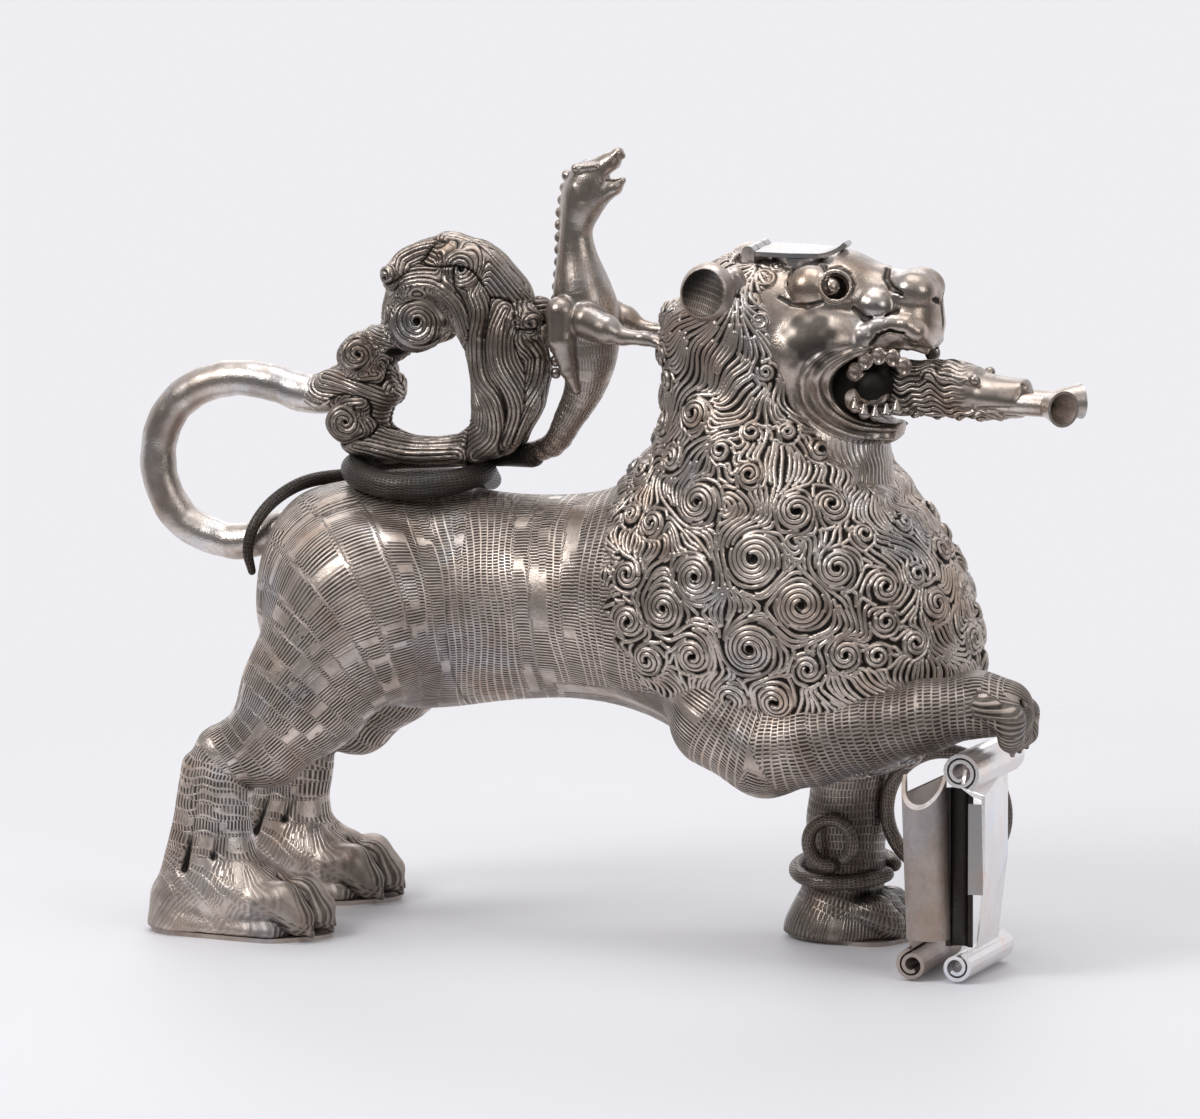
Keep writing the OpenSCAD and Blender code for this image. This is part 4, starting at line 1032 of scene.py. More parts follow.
# Where the mane meets the face and the throat, by height
FACE_Z = np.array([90, 96.2, 98.9, 104, 109, 114.7, 120, 124.5, 128.8, 135.4, 139.7, 146.3, 152, 160])
FACE_X = np.array([99, 76, 71, 66, 60.5, 54.8, 52.4, 51.5, 49.2, 45.7, 44.1, 42.4, 43.4, 41])
mane = Field([-6, -37, 30], [94, 37, 162], 0.66)
v, quads, tris = loft(FRONT[2:], grow=0.6)
mane.add_mesh(v, quads, tris)
mane.add(ball([36.5, 0, 136.7], [17.6, 18.6, 17.4]), 6.0)
mane.add(ball([42, 0, 128], [13, 18.4, 13]), 6.0)
mane.add(ball([59.5, 0, 62], [24, 28, 20]), 6.0)
mane.keep(lambda x, y, z: (mane_edge(z + 0 * x) - x) + 1.3 * np.cos(z * 0.84 + 0.2 * y) + 0 * y, 1.6)
# The face, the lid, the hinge and the filling hole stay clear
mane.keep(lambda x, y, z: x - np.interp(z, FACE_Z, FACE_X) - 0.9 * np.cos(z * 1.1) + 0 * y, 1.2)
mane.cut(block([33.0, -9.0, 152.9], [66, 9.0, 175], 0.5), 0.6)
mane.cut(block([32.6, -7.4, 148.5], [39.2, 7.4, 175], 0.5), 0.3)
mane.cut(drum([46, 0], 6.4, 120, 175), 0.3)
v, f = skin(mane, 3, 1)
n = vertex_normals(v, f)
tree = tree_of(v, f)
curls = []
for px, py, r, hand in CURLS:
    p, m = seen(tree, px, py)
    if p is not None:
        curls.append((p, m, r * PIXEL, hand))
curls = mirrored(curls)
# More curls where the photograph doesn't reach
centres, radii = np.array([c[0] for c in curls]), np.array([c[2] for c in curls])
for i in rng.permutation(len(v))[:6000]:
    p, r = v[i], rng.uniform(2.2, 3.6)
    hidden = p[1] > 2 or p[0] < 20 or n[i] @ EYE < 0.25
    on_face_edge = p[0] > np.interp(p[2], FACE_Z, FACE_X) - 4
    if not hidden or p[0] < mane_edge(p[2]) + 3.0 or not 42 < p[2] < 140 or on_face_edge:
        continue
    if (np.linalg.norm(centres - p, axis=1) - 1.25 * (radii + r)).min() > 0:
        curls.append((p, n[i], r, 1 if rng.random() < 0.5 else -1))
        centres, radii = np.vstack([centres, p]), np.append(radii, r)
# On the chest the hair falls in waves; under the ear it spreads like flames
GAP = 1.02
near_side = v[:, 1] < 0.8
down = unit(np.array([0, 0, -1.0]) - n * (-n[:, 2:3]))
ahead = np.cross(n, down)
girth = np.arctan2(np.abs(v[:, 1]), v[:, 0] - 38) * 26
vein = 42 - 0.39 * (150 - v[:, 2])
lean = (0.75 * np.sin(0.2 * v[:, 2] + 0.13 * girth) + 0.55 * np.sin(0.37 * v[:, 2] - 0.21 * girth + 1.7)
        + 0.3 * np.sin(0.61 * v[:, 2] + 0.35 * v[:, 0]))
spread = 0.75 * np.tanh((vein - girth) / 6) * step(104, 114, v[:, 2])
lean = lean * (1 - 0.45 * step(104, 114, v[:, 2])) + spread
way = swirl(v, n, down * np.cos(lean)[:, None] + ahead * np.sin(lean)[:, None], curls)
arms = [arm for c, m, r, hand in curls if c[1] < 0.8 for arm in curl_arms(c, m, r, hand, GAP)]
seeds = rng.permutation(np.flatnonzero(near_side))[:60000]
lines = lay_strands(v, n, way, arms, seeds, near_side, GAP, 17.0)
lines += [row * [1, -1, 1] for row in lines]
strand, d = across_strands(v, n, lines, GAP)
rise, deep = domes(v, n, curls)
height = 0.42 * (1 - np.clip(2 * d / GAP, 0, 1) ** 2) + rise
deep = np.maximum(deep, 0.9 * step(0.5, 0.75, d))
inside = (v[:, 2] > 152.0) & (np.abs(v[:, 1]) < 9.5) & (v[:, 0] > 31)
height = np.where(inside, 0, height)
v = v + n * height[:, None]
tone = np.maximum(deep, 0.6 * np.clip(hollows(v, f, vertex_normals(v, f), 12, 0.5), 0, 1))
for label, keep in (("mane_right", v[f].mean(1)[:, 1] <= 0), ("mane_left", v[f].mean(1)[:, 1] > 0)):
    pv, pf, pc, ps = part_of(v, f, keep, tone, strand)
    piece(label, pv, pf, HAIR, [], dict(cav=pc, strand=ps))


# Head

HEAD = {"skull": [37, 0, 136.7, 16.6, 17], "cheek": [50, 0, 133.5, 12.5, 17], "brow": [55, 0, 145.5, 8.6, 12],
        "nose": [72.2, 0, 145, 5.5, 6.5], "lip": [72.3, 0, 139.5, 5.8, 8.5], "jaw": [47, 0, 124, 9, 14],
        "chin": [66.5, 0, 116.6, 3.4, 6]}
MOUTH, MOUTH_R = np.array([68, 0, 126.2]), np.array([12.2, 30, 8.6])
head = Field([24, -21, 88], [86, 21, 160], 0.46)
for a, b in (("skull", "cheek"), ("skull", "brow"), ("cheek", "brow"), ("brow", "nose"), ("cheek", "lip"),
             ("nose", "lip"), ("skull", "jaw"), ("jaw", "chin"), ("cheek", "jaw")):
    head.add(rod(HEAD[a], HEAD[b]), 2.5)
head.add(rod([47, 0, 124, 9, 14], [52, 0, 108, 12, 16]), 4.0)
head.add(rod([60.5, 0, 116, 4, 7], [57, 0, 107, 8.2, 12]), 4.0)
head.add(rod([57, 0, 107, 8.2, 12], [57, 0, 97, 12.4, 16]), 4.0)
head.keep(lambda x, y, z: 90.5 - z + 0 * x + 0 * y, 0.5)
head_tree = tree_of(*head.mesh())


def on_face(px, py, sink=0.0):
    """Point on the plain head that the photograph shows at a pixel, sunk below the skin, and the normal."""
    p, m = seen(head_tree, px, py)
    if p is None:
        p, m = [np.array(a) for a in head_tree.find_nearest(Vector(at(px, py, -6.0)))[:2]]
    return p - m * sink, m


def both(how, make, k):
    """Adds or cuts a shape and its mirror image; make gets a side, 1 or -1."""
    for s in (1, -1):
        getattr(head, how)(make(np.array([1, s, 1])), k)


def segment_gap(v, a, b):
    """Distance of points from a segment."""
    t = np.clip((v - a) @ (b - a) / ((b - a) @ (b - a)), 0, 1)
    return np.linalg.norm(v - a - t[:, None] * (b - a), axis=1)


def bump(px, py, r, sink, k):
    c, _ = on_face(px, py, sink)
    both("add", lambda s: ball(c * s, r), k)


def stroke(how, points, r, k, sink=0.0):
    """Groove or ridge through pixels on the face."""
    row = [on_face(px, py, sink)[0] for px, py in points]
    for a, b in zip(row[:-1], row[1:]):
        both(how, lambda s: rod([*(a * s), r], [*(b * s), r]), k)


bump(804, 286, (5.4, 4.8, 5.1), 2.3, 0.7)
bump(826, 336, (8.6, 7.0, 6.0), 5.4, 2.4)
bump(872, 308, (4.4, 3.9, 3.7), 2.1, 0.7)
bump(910, 287, (5.2, 4.4, 4.4), 2.7, 0.9)
head.add(ball(at(921, 297, 0), [3.2, 5.4, 4.0]), 1.2)
head.add(ball(at(917, 325, 0), [4.0, 6.0, 4.6]), 2.0)
stroke("add", [(856, 350), (862, 338), (873, 329), (888, 325), (902, 327), (914, 336), (924, 349)],
       1.9, 1.2, 0.9)
head.cut(ball(MOUTH, MOUTH_R), 0.7)
eye, eye_n = on_face(833, 289)
eyeball = eye - eye_n * 1.0 + np.array([-0.9, 0, 0.1])
both("cut", lambda s: ball((eye + eye_n * 0.7) * s, 3.6), 0.4)
both("add", lambda s: ball(eyeball * s, 2.0), 0.1)
both("add", lambda s: hoop((eye - eye_n * 0.1) * s, eye_n * s, 3.4, 0.5), 0.35)
# Lines cut on the face: round the brow, beside and under it, the lids, the nostril, under the cheek and lip
LINES = [([(788, 288), (790, 275), (799, 266), (812, 263)], 0.5),
         ([(795, 282), (799, 274), (807, 269)], 0.3),
         ([(821, 266), (825, 277), (823, 290), (828, 300)], 0.5),
         ([(778, 300), (790, 307), (805, 309), (820, 305)], 0.45),
         ([(828, 272), (838, 270), (848, 277), (852, 288), (846, 300), (836, 304)], 0.45),
         ([(886, 271), (884, 281), (889, 291), (900, 296), (920, 298), (936, 304)], 0.6),
         ([(852, 311), (862, 321), (880, 322), (894, 314)], 0.5),
         ([(868, 346), (874, 337), (886, 332), (900, 334), (912, 343)], 0.45)]
# Small curls on the temple
for px, py, r in ((763, 281, 2.1), (751, 304, 1.5), (758, 324, 1.5), (775, 270, 1.3)):
    p, m = on_face(px, py)
    both("add", lambda s: hoop(p * s, m * s, r, 0.55), 0.3)
    both("add", lambda s: ball(p * s, 0.7), 0.2)
for points, r in LINES:
    stroke("cut", points, r, 0.4)
head.cut(rod([*at(938, 304, 0), 0.5], [*at(942, 338, 0), 0.6]), 0.5)
head.cut(block([33.0, -8.6, 152.9], [55.5, 8.6, 175], 0.5), 0.4)
head.cut(block([32.6, -7.4, 148.5], [39.2, 7.4, 175], 0.5), 0.3)
head.cut(drum([46, 0], 6.2, 120, 175), 0.2)
v, f = skin(head, 2, 1)
n = vertex_normals(v, f)
# Ridges round the mouth, and fine hatching on the throat
k = np.sqrt((((v - MOUTH) / MOUTH_R)[:, [0, 2]] ** 2).sum(1))
ring = (k - 1) * 8.0
lips = np.where(np.abs(v[:, 1]) > 3.5, 0.5 * np.cos((ring - 0.9) * 2 * math.pi / 1.9), 0)
lips = lips * step(4.6, 3.2, ring) * step(-0.4, 0.3, ring) * step(136.5, 133.5, v[:, 2])
throat = step(117, 113, v[:, 2]) * step(50, 54, v[:, 0])
hatch = np.abs(np.sin(np.arctan2(v[:, 1], v[:, 0] - 40) * 58 + 0.9 * np.sin(v[:, 2] * 0.8)))
v = v + n * (lips + throat * 0.22 * hatch)[:, None]
n = vertex_normals(v, f)
tone = np.clip(hollows(v, f, n, 14, 0.45), 0, 1)
tone = np.maximum(tone, 0.55 * np.clip(hollows(v, f, n, 5, 0.2), 0, 1))
tone = np.maximum(tone, step(0.99, 0.82, k) * 0.8 * step(0, 3, 9 - np.abs(v[:, 1])))
for s in (1, -1):
    d = np.linalg.norm(v - (eye - eye_n * 0.4) * [1, s, 1], axis=1)
    front = np.linalg.norm(v - eyeball * [1, s, 1], axis=1)
    tone = np.maximum(tone, np.where((d < 3.0) & (front > 2.1), 0.9, 0))
for points, r in LINES:
    row = [on_face(px, py)[0] for px, py in points]
    for s in (1, -1):
        d = np.min([segment_gap(v, a * [1, s, 1], b * [1, s, 1]) for a, b in zip(row[:-1], row[1:])], 0)
        tone = np.maximum(tone, 0.62 * step(r + 0.5, r - 0.2, d))
# Painted dark reflection on the cheek
reflection_spot, _ = on_face(808, 340)
for s in (1, -1):
    d = np.linalg.norm((v - reflection_spot * [1, s, 1]) / [1.0, 1.0, 1.25], axis=1)
    spot_wobble = 1.6 * np.sin(1.1 * v[:, 0]) * np.sin(1.3 * v[:, 2])
    tone = np.maximum(tone, 0.54 * step(8.4, 3.0, d + spot_wobble))
tone = np.maximum(tone, 0.35 * throat * (1 - hatch))
piece("head_skin", v, f, FACE, ["head_shell"], dict(cav=tone))


# Ears: cups with a chased lining

for s, label in ((-1, "right_ear"), (1, "left_ear")):
    ear = Field([18, -24 if s < 0 else 8, 134], [44, -8 if s < 0 else 24, 160], 0.42)
    c = np.array([29.8, s * 16.0, 146.8])
    hole, hole_r = c + np.array([-0.3, s * 5.6, 0.2]), np.array([5.5, 4.7, 6.4])
    tilt = np.array([[0.94, 0, 0.34], [0, 1, 0], [-0.34, 0, 0.94]])
    ear.add(ball(c, [6.0, 4.6, 6.6], tilt), 0)
    ear.add(rod([34, s * 12.5, 142.5, 4.2], [31, s * 15, 146, 4.4]), 2.0)
    ear.cut(ball(hole, hole_r, tilt), 0.5)
    ear.add(rod([35.4, s * 13.8, 150.4, 1.9], [36.8, s * 12.8, 147.4, 1.9]), 1.0)
    v, f = skin(ear, 2, 1)
    n = vertex_normals(v, f)
    # Painted shade inside the cup, darker towards the top and back
    bowl = step(1.12, 1.02, np.linalg.norm((v - hole) @ tilt / hole_r, axis=1))
    shade = 0.36 + 0.3 * step(-1, 6, v[:, 2] - c[2] - v[:, 0] + c[0])
    tone = np.maximum(np.clip(hollows(v, f, n, 8, 0.35), 0, 1), bowl * shade)
    tick = np.stack([(v[:, 2] + 0.3 * v[:, 0]) / 1.5, v[:, 0] / 0.5 - 0.3 * v[:, 2], 0.7 * bowl], 1)
    piece(label + "_skin", v, f, SKIN, [label], dict(cav=tone, tick=tick))


# Mouth: dark throat, tongue and teeth

throat = Field([46, -15, 112], [80, 15, 142], 0.38)
throat.add(ball([60.0, 0, 126.0], [7.2, 11.0, 8.6]), 0)
knob = at(871, 389, -8.6)
throat.add(rod([*knob, 4.1], [*(knob * [1, -1, 1]), 4.1]), 0.8)
UPPER = [(853, 373), (863, 363), (876, 358), (890, 360), (901, 369)]
LOWER = [(853, 406), (862, 412), (873, 414), (884, 412), (894, 408)]
teeth = []
for s in (-1, 1):
    side = np.array([1, -s, 1])
    for px, py in UPPER:
        c = at(px, py, -10.6) * side
        throat.add(ball(c, [1.8, 1.0, 2.1]), 0.2)
        throat.cut(ball(c + np.array([0, s * 0.9, -0.3]), [1.15, 0.75, 1.4]), 0.15)
        teeth.append(c)
    for px, py in LOWER:
        a, b = at(px, py + 3, -10.4) * side, at(px, py - 6, -10.2) * side
        throat.add(rod([*a, 1.3], [*b, 0.4]), 0.15)
        teeth += [a, (a + b) / 2, b]
v, f = skin(throat, 2, 1)
n = vertex_normals(v, f)
tone = np.clip(hollows(v, f, n, 10, 0.4), 0, 1)
gap = np.min([np.linalg.norm(v - c, axis=1) for c in teeth], 0)
tone = np.maximum(tone, 0.72 * step(2.0, 2.5, gap))
piece("mouth_lining", v, f, FACE, ["mouth_plug"], dict(cav=tone))


# Tail and tuft

TAIL_ROWS = [[-66, 87.3, 4], [-73, 86.8, 4], [-81, 83.8, 4], [-88, 83.6, 4], [-97.3, 87.6, 4],
             [-102.3, 96.2, 4], [-102.5, 105.4, 4], [-99, 112.9, 4], [-92.5, 117.8, 4], [-84.5, 119.9, 4],
             [-76.3, 119.3, 4.1], [-68, 117.2, 4.3], [-60, 117.6, 4.4]]
rows = smooth_rows(TAIL_ROWS, 8)
v, f, flow = tube(np.stack([rows[:, 0], 0 * rows[:, 0], rows[:, 1]], 1), rows[:, 2], 40)
v = v + vertex_normals(v, f) * (0.12 * np.sin(flow[:, 0] * 0.9) * np.sin(flow[:, 0] * 0.23 + 2))[:, None]
piece("tail_skin", v, f, TAIL, ["tail"], dict(cav=np.zeros(len(v))))

TUFT = [[-66, 117.2, 4.4, 4.8], [-53.4, 120.2, 6.8, 7], [-55, 125.7, 5.2, 6.6], [-47.2, 129.6, 3.9, 6],
        [-43.5, 136.3, 6.8, 7.5], [-40.5, 143.2, 8.4, 8], [-35.2, 143.7, 9.5, 8], [-30, 142.1, 9.6, 8.4],
        [-25.9, 138.3, 9.1, 8.6], [-22.7, 131.8, 8.6, 9], [-21.4, 125.2, 8.3, 9], [-21.8, 118.4, 7.6, 8.2],
        [-24, 111.2, 6, 6.8], [-30, 106.6, 4, 5], [-40.5, 105.9, 2.9, 4.2], [-48.8, 106.6, 4, 5.2],
        [-55, 109.4, 5.7, 6.6], [-53.9, 116.4, 6.6, 7]]
LOBES = [[-54.3, 127, 4.4], [-57, 112.2, 4], [-40.7, 135.2, 6], [-31, 147, 5], [-16.4, 136, 3.6],
         [-45.8, 144.5, 3.2]]
# Spirals on the tuft: pixel, radius in pixels, hand
TUFT_CURLS = [(417, 322, 22, 1), (461, 270, 18, -1), (358, 355, 13, 1), (345, 422, 12, -1), (528, 325, 8, 1),
              (388, 279, 8, -1)]
# Locks of the tuft: pixels along the middle of each, and its half width in pixels
LOCKS_AT = [([(438, 238), (468, 245), (495, 265), (518, 292), (538, 315)], 13),
            ([(392, 272), (402, 257), (422, 248), (442, 245)], 9),
            ([(470, 335), (458, 305), (435, 287), (408, 288), (394, 308), (395, 332), (412, 346),
              (430, 340)], 11),
            ([(465, 288), (475, 312), (473, 338), (477, 378), (493, 408), (493, 438), (475, 455)], 9),
            ([(505, 312), (497, 335), (498, 365), (513, 392), (517, 415), (507, 442)], 9),
            ([(532, 335), (542, 358), (538, 385), (525, 412), (512, 442)], 9),
            ([(405, 345), (385, 335), (362, 336), (343, 355), (355, 374), (375, 375)], 9),
            ([(325, 378), (345, 382), (368, 392), (388, 398), (402, 392)], 10),
            ([(362, 402), (345, 405), (331, 422), (343, 437), (360, 432)], 8),
            ([(355, 444), (405, 456), (458, 456)], 9)]


def lock_lines(tree):
    """Middle lines of the locks on both sides of the tuft, with half widths (mm)."""
    out = []
    for points, half in LOCKS_AT:
        row = []
        for px, py in smooth_rows(points, 5):
            p, _ = seen(tree, px, py)
            if p is None or p[1] > 0:
                p = np.array(tree.find_nearest(Vector(at(px, py, -6.0)))[0])
            row.append(p)
        row = np.array(row)
        out += [(row, half * PIXEL), (row * [1, -1, 1], half * PIXEL)]
    return out


def along(v, n, lines):
    """Signed distance from the nearest line, and the shares of the nearest lock and of the next."""
    first, second, across = np.full(len(v), 1e9), np.full(len(v), 1e9), np.zeros(len(v))
    for row, half in lines:
        d, sign = np.full(len(v), 1e9), np.ones(len(v))
        for a, b in zip(row[:-1], row[1:]):
            ab = b - a
            t = np.clip((v - a) @ ab / max(ab @ ab, 1e-6), 0, 1)
            rel = v - a - t[:, None] * ab
            dist = np.linalg.norm(rel, axis=1)
            near = dist < d
            d[near] = dist[near]
            sign[near] = np.sign((np.cross(n[near], ab) * rel[near]).sum(1))
        share = d / half
        near = share < first
        second = np.where(near, first, np.minimum(second, share))
        across = np.where(near, sign * d, across)
        first = np.where(near, share, first)
    return across, first, second


tuft = Field([-76, -13, 96], [-8, 13, 158], 0.6)
Limb([[x, 0, z, r, ry] for x, z, r, ry in TUFT]).add(tuft, 1.6)
for x, z, r in LOBES:
    for s in (-1, 1):
        tuft.add(ball([x, s * 5.0, z], [r, 3.7, r]), 1.2)
v, f = skin(tuft, 2, 1)
n = vertex_normals(v, f)
tree = tree_of(v, f)
across, first, second = along(v, n, lock_lines(tree))
curls = []
for px, py, r, hand in TUFT_CURLS:
    p, m = seen(tree, px, py)
    if p is not None:
        m = unit(m + np.array([0, -1.0, 0]))
        curls += [(p, m, r * PIXEL, hand), (flip(p), flip(m), r * PIXEL, hand)]
height, strand, deep = comb(v, n, across, curls, 0.95, 0.4, 0, 2)
groove = step(0.3, 0.05, second - first) * (1 - step(0.5, 0.9, deep))
height = height + 0.9 * (1 - np.clip(first, 0, 1.3) ** 2) - 0.7 * groove
v = v + n * height[:, None]
tone = np.maximum(np.maximum(deep * 0.9, 0.7 * groove),
                  0.7 * np.clip(hollows(v, f, vertex_normals(v, f), 12, 0.5), 0, 1))
piece("tuft_hair", v, f, LOCKS, ["tail_tuft"], dict(cav=tone, strand=strand))


# Wyvern

WY = [[-20.5, 6.2, 105, 1.9], [-11.5, 1.8, 108.2, 2.6], [-7.2, 0, 114.5, 3.2], [-3.6, 0, 121.5, 4.3],
      [-2.4, 0, 129, 6.0, 6.2], [-3.0, 0, 137, 7.2, 7], [-4.1, 0, 143.5, 6.2, 6.4], [-5.2, 0, 150.5, 4.3],
      [-5.5, 0, 157, 3.5], [-4.0, 0, 163.0, 4.8, 4.4], [-2.6, 0, 167.0, 4.9, 4.2]]
LEG = [[-1.0, 6.2, 137.6, 3.8], [3.6, 6.7, 135.8, 3.2], [7.4, 6.7, 134.4, 1.8], [12.2, 6.3, 134.2, 1.5],
       [15.6, 6.0, 133.4, 1.3], [17.2, 5.8, 132.0, 0.8]]
# Folded wing: an oval shoulder that runs down to a point
WING = [[-6.8, 6.8, 139.4, 3.4], [-6.6, 7.1, 133.4, 3.2], [-5.2, 6.3, 126.4, 1.9], [-4.0, 4.9, 121.8, 0.9]]
wy = Field([-27, -16, 100], [22, 16, 178], 0.44)
spine = Limb(smooth_rows([r + [r[3]] * (5 - len(r)) for r in WY], 3).tolist())
spine.add(wy, 0.6)
# Open beak: hooked upper part, lower jaw, and the gape between them
for a, b, k in (([-1.4, 0, 168.6, 3.9, 3.5], [2.2, 0, 171.6, 2.5, 2.4], 1.2),
                ([2.2, 0, 171.6, 2.5, 2.4], [4.2, 0, 174.0, 1.2, 1.6], 0.8),
                ([4.2, 0, 174.0, 1.2, 1.6], [5.2, 0, 173.4, 0.7, 0.9], 0.5),
                ([-0.6, 0, 164.6, 3.0, 3.0], [3.4, 0, 166.4, 1.7, 1.9], 1.2),
                ([3.4, 0, 166.4, 1.7, 1.9], [5.2, 0, 168.0, 0.8, 1.0], 0.6)):
    wy.add(rod(a, b), k)
wy.cut(rod([1.8, 0, 168.6, 0.6, 2.4], [6.4, 0, 170.9, 1.4, 3.6]), 0.5)
for q in (0.0, 0.35, 0.7):
    wy.add(ball([2.4 + 2.2 * q, 0, 169.9 + 1.6 * q], [0.5, 2.0, 0.5]), 0.2)
for s in (-1, 1):
    e = at(576, 170, -3.8) * [1, -s, 1]
    wy.cut(ball(e + np.array([0, s * 0.9, 0]), [1.5, 0.9, 1.3]), 0.2)
    wy.add(ball(e, [0.95, 0.95, 0.9]), 0.1)
    wy.add(rod([-0.4, s * 2.7, 171.3, 0.8], [-4.6, s * 3.2, 170.6, 1.0]), 0.7)
    wy.add(rod([-4.6, s * 3.2, 166.4, 1.0], [-3.0, s * 3.8, 164.0, 0.8]), 0.6)
    for rows, k in ((WING, 0.5), (LEG, 0.9)):
        for a, b in zip(rows[:-1], rows[1:]):
            wy.add(rod([a[0], s * a[1], *a[2:]], [b[0], s * b[1], *b[2:]]), k)
    for dy in (-1.8, 0.0, 1.9):
        wy.add(rod([14.8, s * 6.0, 133.8, 1.1], [17.6, s * (6.0 + dy), 133.2 - 0.4 * abs(dy), 0.7]), 0.4)
# Beads of the crest, down the back of the neck
for q in np.linspace(0, 1, 17):
    x = np.interp(q, [0, 0.2, 0.45, 0.75, 1], [-7.6, -9.2, -9.4, -10.6, -10.2])
    wy.add(ball([x, 0, 168.5 - q * 44], [1.25, 1.1, 1.3]), 0.25)
v, f = skin(wy, 2, 1)
n = vertex_normals(v, f)
d, length, angle = spine.flow(v)
# The lower body and tail are scaled, the breast only faintly
scaled = step(0.9, 0.2, d) * np.interp(v[:, 2], [104, 128, 136, 150], [1.0, 0.9, 0.3, 0.1])
tick = ticks(length, angle, spine.radius_at, 0.8 * scaled, 0.95, 0.72)
tone = np.clip(hollows(v, f, n, 12, 0.4), 0, 1)
tone = np.maximum(tone, 0.6 * np.clip(hollows(v, f, n, 5, 0.2), 0, 1))
nodes = ["wyvern_body", "wyvern_right_wing", "wyvern_left_wing", "wyvern_right_leg", "wyvern_left_leg"]
piece("wyvern_skin", v, f, WYVERN, nodes, dict(cav=tone, tick=tick))


# Beast head of the spout

MASK = [[63, 0, 124.6, 5.2, 6.2], [70, 0, 125.2, 5.5, 6.6], [77, 0, 125.6, 5.5, 6.8],
        [83.5, 0, 125.4, 5.1, 6.6], [89.5, 0, 124.6, 4.2, 6.0], [95.5, 0, 124.0, 3.9, 5.6]]
mask = Field([56, -13, 110], [103, 13, 136], 0.34)
Limb(MASK).add(mask, 1.2)
mask.add(rod([80.5, 0, 129.4, 2.2, 4.6], [86.0, 0, 128.6, 2.0, 4.4]), 0.9)
mask.add(rod([92.5, 0, 126.6, 1.9, 3.8], [97.0, 0, 126.8, 1.6, 3.6]), 0.9)
mask.add(rod([89, 0, 121.0, 1.7, 3.6], [96.4, 0, 121.2, 1.4, 3.4]), 0.7)
for x in (69.0, 74.0, 79.0, 84.0, 88.5):
    for y in (-4.4, -1.6, 1.6, 4.4):
        mask.add(rod([x, y, 122.6, 1.6], [x + 5.0, y * 1.1, 120.3, 0.7]), 0.7)
for s in (-1, 1):
    eye = at(971, 382, -5.8) * [1, -s, 1]
    mask.cut(ball(eye + np.array([0, s * 0.8, 0]), [2.0, 1.2, 1.7]), 0.3)
    mask.add(ball(eye - np.array([0, s * 0.2, 0]), 1.25), 0.1)
    mask.add(rod([82.0, s * 5.4, 128.4, 1.0], [87.6, s * 5.0, 128.2, 0.8]), 0.5)
    mask.add(rod([80.6, s * 5.8, 128.6, 1.3], [76.4, s * 6.2, 129.4, 0.8]), 0.6)
    mask.cut(ball([98.0, s * 2.4, 127.4], 0.7), 0.3)
    mask.cut(rod([88.5, s * 6.0, 122.2, 0.5], [99, s * 5.4, 122.4, 0.6]), 0.4)
    mask.cut(rod([60, s * 2.6, 123.2, 2.4], [110, s * 2.6, 123.2, 2.4]), 0.1)
v, f = skin(mask, 2, 1)
n = vertex_normals(v, f)
angle = np.arctan2(v[:, 1], v[:, 2] - 124.0)
hair = step(87, 81, v[:, 0]) + step(122.5, 120.5, v[:, 2]) * step(94, 88, v[:, 0])
hair = np.clip(hair, 0, 1)
across = angle * 6.2 + 0.7 * np.sin(v[:, 0] * 0.55) + 0.35 * np.sin(v[:, 0] * 1.3 + angle * 2)
height, strand, deep = comb(v, n, across, [], 1.15, 0.42, 4.2)
strand[:, 2] = hair
v = v + n * (height * hair)[:, None]
tone = np.maximum(deep * hair * 0.8, np.clip(hollows(v, f, vertex_normals(v, f), 12, 0.4), 0, 1))
piece("spout_beast", v, f, LOCKS, ["spout_mask"], dict(cav=tone, strand=strand))


# Coil on the back, and the serpent by the standing leg

def rope(name, rows, node, material, row=0.9, dash=0.66):
    """Smooth round tube through rows (x, y, z, r), with scales."""
    rows = np.array(rows)
    v, f, flow = tube(rows[:, :3], rows[:, 3], 28)
    angle = np.arctan2(flow[:, 2], flow[:, 1])
    base = Limb(rows.tolist())
    tick = ticks(flow[:, 0], angle, base.radius_at, np.ones(len(v)), row, dash)
    piece(name, v, f, material, [node], dict(cav=np.zeros(len(v)), tick=tick))


q = np.radians(np.linspace(55, 375, 120))
w = np.maximum(0, (np.degrees(q) - 290) / 85)
COIL_R = 3.0
turn = np.stack([-41.8 + 14.7 * np.cos(q), (12 + 2.5 * w) * np.sin(q),
                 99.5 + 2 * np.cos(q) ** 2 + 3.9 * np.maximum(0, np.cos((q - q[0]) * 0.72)),
                 COIL_R * (1 - 0.22 * w)], 1)
LEAD = [[-17, 4.2, 105.3, 2.8], [-24.5, 8.8, 104.6, 2.9]]
TIP = [[-29.5, 13, 97.8, 2.25], [-40, 17, 97.3, 2.1], [-53, 15, 97, 1.8], [-63.5, 9.5, 97.4, 1.6],
       [-70, 3, 96.6, 1.5], [-75, -2.6, 93.2, 1.4], [-78.4, -6, 88, 1.3], [-79.6, -6.8, 82.5, 1.2],
       [-78.9, -6.2, 77.8, 0.9]]
rope("coil_skin", np.vstack([smooth_rows(LEAD, 4), turn, smooth_rows(TIP, 10)]), "wyvern_tail_coil", COIL)
SERPENT_X, SERPENT_R = 52.6, 1.65
q = np.radians(np.linspace(20, 345, 110))
band = [SERPENT_X + 10.8 * np.cos(q), STAND_Y + 10.8 * np.sin(q), 15.4 + 1.7 * np.sin(q), 0 * q + SERPENT_R]
rope("band_skin", np.stack(band, 1), "serpent_band", SERPENT)
t = np.linspace(0, 1, 90)
q, r = np.radians(-90 - 320 * t), 5.4 * (1 - 0.12 * t)
curl = [SERPENT_X + r * np.cos(q), 0 * q + 2.5, 22.8 + r * np.sin(q), SERPENT_R * (1 - 0.2 * t)]
